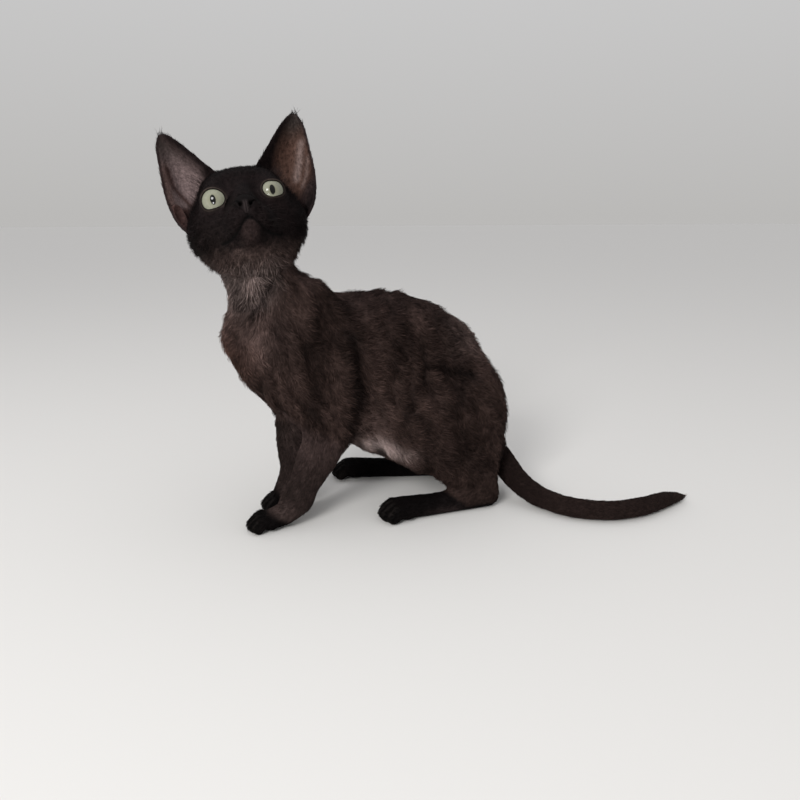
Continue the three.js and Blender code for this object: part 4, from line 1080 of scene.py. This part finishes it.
def grow(coat):
    corners, shares = scatter(coat.nodes, coat.gap)

    def at(values):
        return (values[corners] * shares.reshape(shares.shape + (1,) * (values.ndim - 1))).sum(1)

    size = at(getattr(skin, coat.size))
    kept = size > SMALLEST
    corners, shares, size = corners[kept], shares[kept], size[kept]
    root, colour, wave = at(skin.points), at(skin.colours), at(skin.ripple)
    normal, lie = unit(at(skin.normals)), unit(at(skin.lie))
    count = len(root)

    sway = SPREAD * random.normal(size=count) + 0.35 * wave + 0.35 * at(skin.swirl)
    way = unit(lie * np.cos(sway)[:, None] + np.cross(normal, lie) * np.sin(sway)[:, None])
    side = np.cross(normal, way)
    length = (coat.length * size * random.uniform(*LENGTHS, count))[:, None]
    width = (coat.width * random.uniform(*WIDTHS, count) * np.sqrt(size))[:, None]
    lift = coat.lift * (1 + 0.5 * wave) * (1 + 0.4 * at(skin.stand))
    lift = (lift * random.uniform(*LIFTS, count))[:, None]
    bend = side * length * (BEND * random.normal(size=count))[:, None]

    rings, steps = [], np.linspace(0, 1, coat.segments + 1)
    for step in steps[:-1]:
        middle = root - normal * ROOT_DEPTH + way * length * step + normal * length * lift * step * 1.5
        thin = width * (1 - 0.35 * step)
        rings += [middle - side * thin / 2, middle + side * thin / 2, middle + normal * thin * 0.4]
    rings.append(drawn_together(root, root + way * length + normal * length * lift + bend))
    along = np.append(np.repeat(steps[:-1], 3), 1)[None, :, None]
    pale = coat.pale * np.maximum(0, random.normal(size=(count, 1, 1)))
    shade = random.uniform(*SHADES, (count, 1, 1)) * (0.75 + 0.4 * along) + pale * along
    tones = colour[:, None] * shade
    lay_slivers(coat.name, np.stack(rings, 1), tones, skin.labels[corners[:, 0]], coat.segments)


for coat in COATS:
    grow(coat)


# Longer hairs: the whiskers, the brows, the fringes and wisps of the ears, and the wisp of the tail.
skin_tree = BVHTree.FromPolygons(skin.points.tolist(), skin.faces.tolist())
HAIR_SEGMENTS = 4


def grow_hairs(name, roots, ways, bends, length, width, tone):
    """Curved hairs from the skin nearest to each root, each bending away from its way."""
    found = [skin_tree.find_nearest(Vector(root)) for root in roots]
    root = np.array([place for place, *_ in found])
    labels = skin.labels[skin.faces[[index for _, _, index, _ in found], 0]]
    count = len(root)
    way, bend = unit(np.asarray(ways)), np.asarray(bends)
    length = (length * random.uniform(0.7, 1.15, count))[:, None]
    side = unit(np.cross(way, bend))
    other = np.cross(way, side)
    rings = []
    for step in np.linspace(0, 1, HAIR_SEGMENTS + 1):
        middle = root + length * (way * step + bend * step**2)
        if step == 1:
            rings.append(middle)
            continue
        for angle in (0, 2 * math.pi / 3, 4 * math.pi / 3):
            out = side * math.cos(angle) + other * math.sin(angle)
            rings.append(middle + out * width / 2 * (1 - 0.7 * step))
    points = np.stack(rings, 1)
    tones = tone * random.uniform(0.8, 1.2, (count, 1, 1)) * np.ones((1, points.shape[1], 1))
    lay_slivers(name, points, tones, labels, HAIR_SEGMENTS)


def scattered(vectors, amount):
    return vectors + amount * random.normal(size=np.shape(vectors))


def grow_whiskers():
    roots, ways = [], []
    for side in (-1, 1):
        for row in range(4):
            for place in range(4):
                roots.append(on_head(31 - 1.6 * place, side * (4.6 + 1.9 * place), -10.5 - 1.5 * row))
                ways.append(np.array((0.5 - 0.1 * place, side, 0.18 - 0.17 * row)) @ head_axes)
        for place in range(3):
            roots.append(on_head(24, side * (11 + 1.5 * place), 9.5 + 0.4 * place))
            ways.append(np.array((0.9, side * (0.2 + 0.2 * place), 0.7)) @ head_axes)
    ways = scattered(np.array(ways), 0.08)
    bends = np.tile(np.array((-0.5, 0, -0.1)) @ head_axes, (len(roots), 1))
    grow_hairs("whiskers", roots, ways, scattered(bends, 0.06), 9, 0.1, seen(34, 29, 28))


def grow_ear_hair():
    roots, ways = [], []
    for side, count in ((-1, 60), (1, 100)):
        for height in random.uniform(-4, 22, count):
            roots.append(on_head(random.uniform(2, 7), side * random.uniform(21.5, 24.5), height))
            ways.append(np.array((0.1, side * 0.7, 0.7)) @ head_axes)
    ways = scattered(np.array(ways), 0.16)
    bends = scattered(np.tile(np.array((-0.35, 0, 0.15)) @ head_axes, (len(roots), 1)), 0.1)
    grow_hairs("ear_fringe", roots, ways, bends, 6.5, 0.16, seen(30, 23, 22))
    tips = [on_head(-5, 38.5, 48.6)] * 9 + [on_head(-5, -35, 48)] * 9
    ways = scattered(np.tile(np.array((0, 0, 1)) @ head_axes, (len(tips), 1)), 0.35)
    roots = scattered(np.array(tips), 0.8)
    grow_hairs("ear_tips", roots, ways, scattered(ways * 0, 0.2), 4, 0.16, EAR_RIM)


def grow_tail_wisp():
    end = np.array((178, -55.5, 5)) + design_shift
    roots = scattered(np.tile(end, (14, 1)), 0.8)
    ways = scattered(np.tile((0.9, 0.3, 0.25), (14, 1)), 0.18)
    grow_hairs("tail_wisp", roots, ways, scattered(ways * 0, 0.1), 4.5, 0.16, WISP)


grow_whiskers()
grow_ear_hair()
grow_tail_wisp()

# Eyes: an iris with fine fibres and a slit of a pupil, under a clear wet coat. The tones of the iris go
# by their share of the eye's radius, and the pupil has half a width and half a height.
# The dark ring at the edge of the iris is partly the limbus and partly painted shade, for the depth under
# the cornea.
IRIS = [
    (0.1, srgb(104, 104, 86)),
    (0.45, srgb(122, 122, 107)),
    (0.7, srgb(112, 113, 97)),
    (0.8, srgb(74, 74, 62)),
    (0.87, srgb(22, 19, 18)),
]
PUPIL = (1.4, 2.45)
FIBRES = 9.0
FIBRE_LENGTH = 0.35
EYE_RINGS = 48
EYE_SPOKES = 72


def eye_material():
    material, tree, shader = new_material("eye_wet")

    def maths(operation, *values):
        made = node(tree, "ShaderNodeMath", operation=operation)
        for socket, value in zip(made.inputs, values):
            if isinstance(value, (int, float)):
                socket.default_value = value
            else:
                tree.links.new(value, socket)
        return made.outputs[0]

    place = node(tree, "ShaderNodeTexCoord")
    axes = node(tree, "ShaderNodeSeparateXYZ")
    link(tree, place, "Object", axes, "Vector")
    x, y = (maths("DIVIDE", axes.outputs[axis], MM) for axis in ("X", "Y"))
    radius = maths("SQRT", maths("ADD", maths("MULTIPLY", x, x), maths("MULTIPLY", y, y)))
    slit_x, slit_y = (maths("DIVIDE", value, half) for value, half in zip((x, y), PUPIL))
    slit = maths("ADD", maths("MULTIPLY", slit_x, slit_x), maths("MULTIPLY", slit_y, slit_y))

    spokes = node(tree, "ShaderNodeCombineXYZ")
    tree.links.new(maths("MULTIPLY", maths("ARCTAN2", y, x), FIBRES), spokes.inputs["X"])
    tree.links.new(maths("MULTIPLY", radius, FIBRE_LENGTH), spokes.inputs["Y"])
    fibres = node(tree, "ShaderNodeTexNoise", Scale=1.0, Detail=3.0)
    link(tree, spokes, "Vector", fibres, "Vector")
    lighter = node(tree, "ShaderNodeMapRange", To_Min=0.75, To_Max=1.25)
    link(tree, fibres, "Fac", lighter, "Value")

    ramp = node(tree, "ShaderNodeValToRGB")
    tree.links.new(maths("DIVIDE", radius, EYE_RADIUS), ramp.inputs["Fac"])
    elements = ramp.color_ramp.elements
    while len(elements) < len(IRIS):
        elements.new(0.5)
    for element, (position, colour) in zip(elements, IRIS):
        element.position = position
        element.color = (*colour, 1)
    iris = scaled(tree, ramp, "Color", lighter, "Result")
    pupil = node(tree, "ShaderNodeMapRange", From_Min=0.8, From_Max=1.2, To_Min=0.01)
    tree.links.new(slit, pupil.inputs["Value"])
    link(tree, scaled(tree, iris, "Vector", pupil, "Result"), "Vector", shader, "Base Color")
    set_inputs(shader, Roughness=0.3, Specular_IOR_Level=0.02)
    set_inputs(shader, Coat_Weight=1.0, Coat_IOR=1.34, Coat_Roughness=0.03)
    return material


def make_eye(eye, material):
    angles = np.linspace(0.001, math.pi - 0.001, EYE_RINGS)[:, None]
    around = np.linspace(0, 2 * math.pi, EYE_SPOKES, endpoint=False)[None]
    radius = eye_profile(np.cos(angles))
    off, ahead = radius * np.sin(angles), radius * np.cos(angles)
    points = np.stack([off * np.cos(around), off * np.sin(around), ahead * np.ones_like(around)], -1)
    faces = grid_faces(EYE_RINGS, EYE_SPOKES, closed=True)[:, ::-1]
    piece = new_object(eye.name + "_glass", points.reshape(-1, 3), faces)
    place = np.eye(4)
    place[:3, :3] = eye.axes.T
    place[:3, 3] = eye.centre * MM
    piece.matrix_world = place.T.tolist()
    show(piece, material, [eye.name])
    eye_pieces.objects.link(piece)


wet = eye_material()
eye_pieces = bpy.data.collections.new("eyes")
for eye in EYES:
    make_eye(eye, wet)


# The studio: a pale floor under a soft sky whose edge has the tone of the floor far away.
FLOOR_REACH = 12000
FLOOR = (0.69, 0.675, 0.65)
SKY_EDGE = (0.494, 0.487, 0.477)
SKY_TOP = (0.82, 0.83, 0.86)


def make_stage():
    corners = [(x * FLOOR_REACH, y * FLOOR_REACH, 0) for x, y in ((-1, -1), (1, -1), (1, 1), (-1, 1))]
    floor = new_object("floor", corners, [(0, 1, 2, 3)])
    material, _, shader = new_material("floor_pale")
    set_inputs(shader, Base_Color=(*FLOOR, 1), Roughness=0.9)
    floor.data.materials.append(material)

    world = bpy.data.worlds.new("studio")
    bpy.context.scene.world = world
    world.use_nodes = True
    tree = world.node_tree
    place = node(tree, "ShaderNodeTexCoord")
    axes = node(tree, "ShaderNodeSeparateXYZ")
    link(tree, place, "Generated", axes, "Vector")
    ramp = node(tree, "ShaderNodeValToRGB")
    link(tree, axes, "Z", ramp, "Fac")
    for element, colour in zip(ramp.color_ramp.elements, (SKY_EDGE, SKY_TOP)):
        element.color = (*colour, 1)
    link(tree, ramp, "Color", tree.nodes["Background"], "Color")


def area_light(name, place, target, size, power):
    data = bpy.data.lights.new(name, "AREA")
    data.size = size
    data.energy = power
    light = in_scene(name, data)
    light.location = place
    light.rotation_euler = Vector(np.array(target) - place).to_track_quat("-Z", "Y").to_euler()
    light.visible_camera = False
    return light


# The lights stand off from the head, in metres: a soft key, and a small lamp that lights only the eyes.
KEY_OFFSET = np.array((-0.715, -0.962, 0.507))
KEY_TARGET = (0, 0, 0.1)
SPARK_OFFSET = np.array((-0.132, -0.258, -0.084))

make_stage()
head_place = head_origin * MM
area_light("key", head_place + KEY_OFFSET, KEY_TARGET, size=0.45, power=16)
spark = area_light("spark", head_place + SPARK_OFFSET, head_place, size=0.045, power=0.3)
spark.light_linking.receiver_collection = eye_pieces
bpy.context.scene.view_settings.view_transform = "Standard"
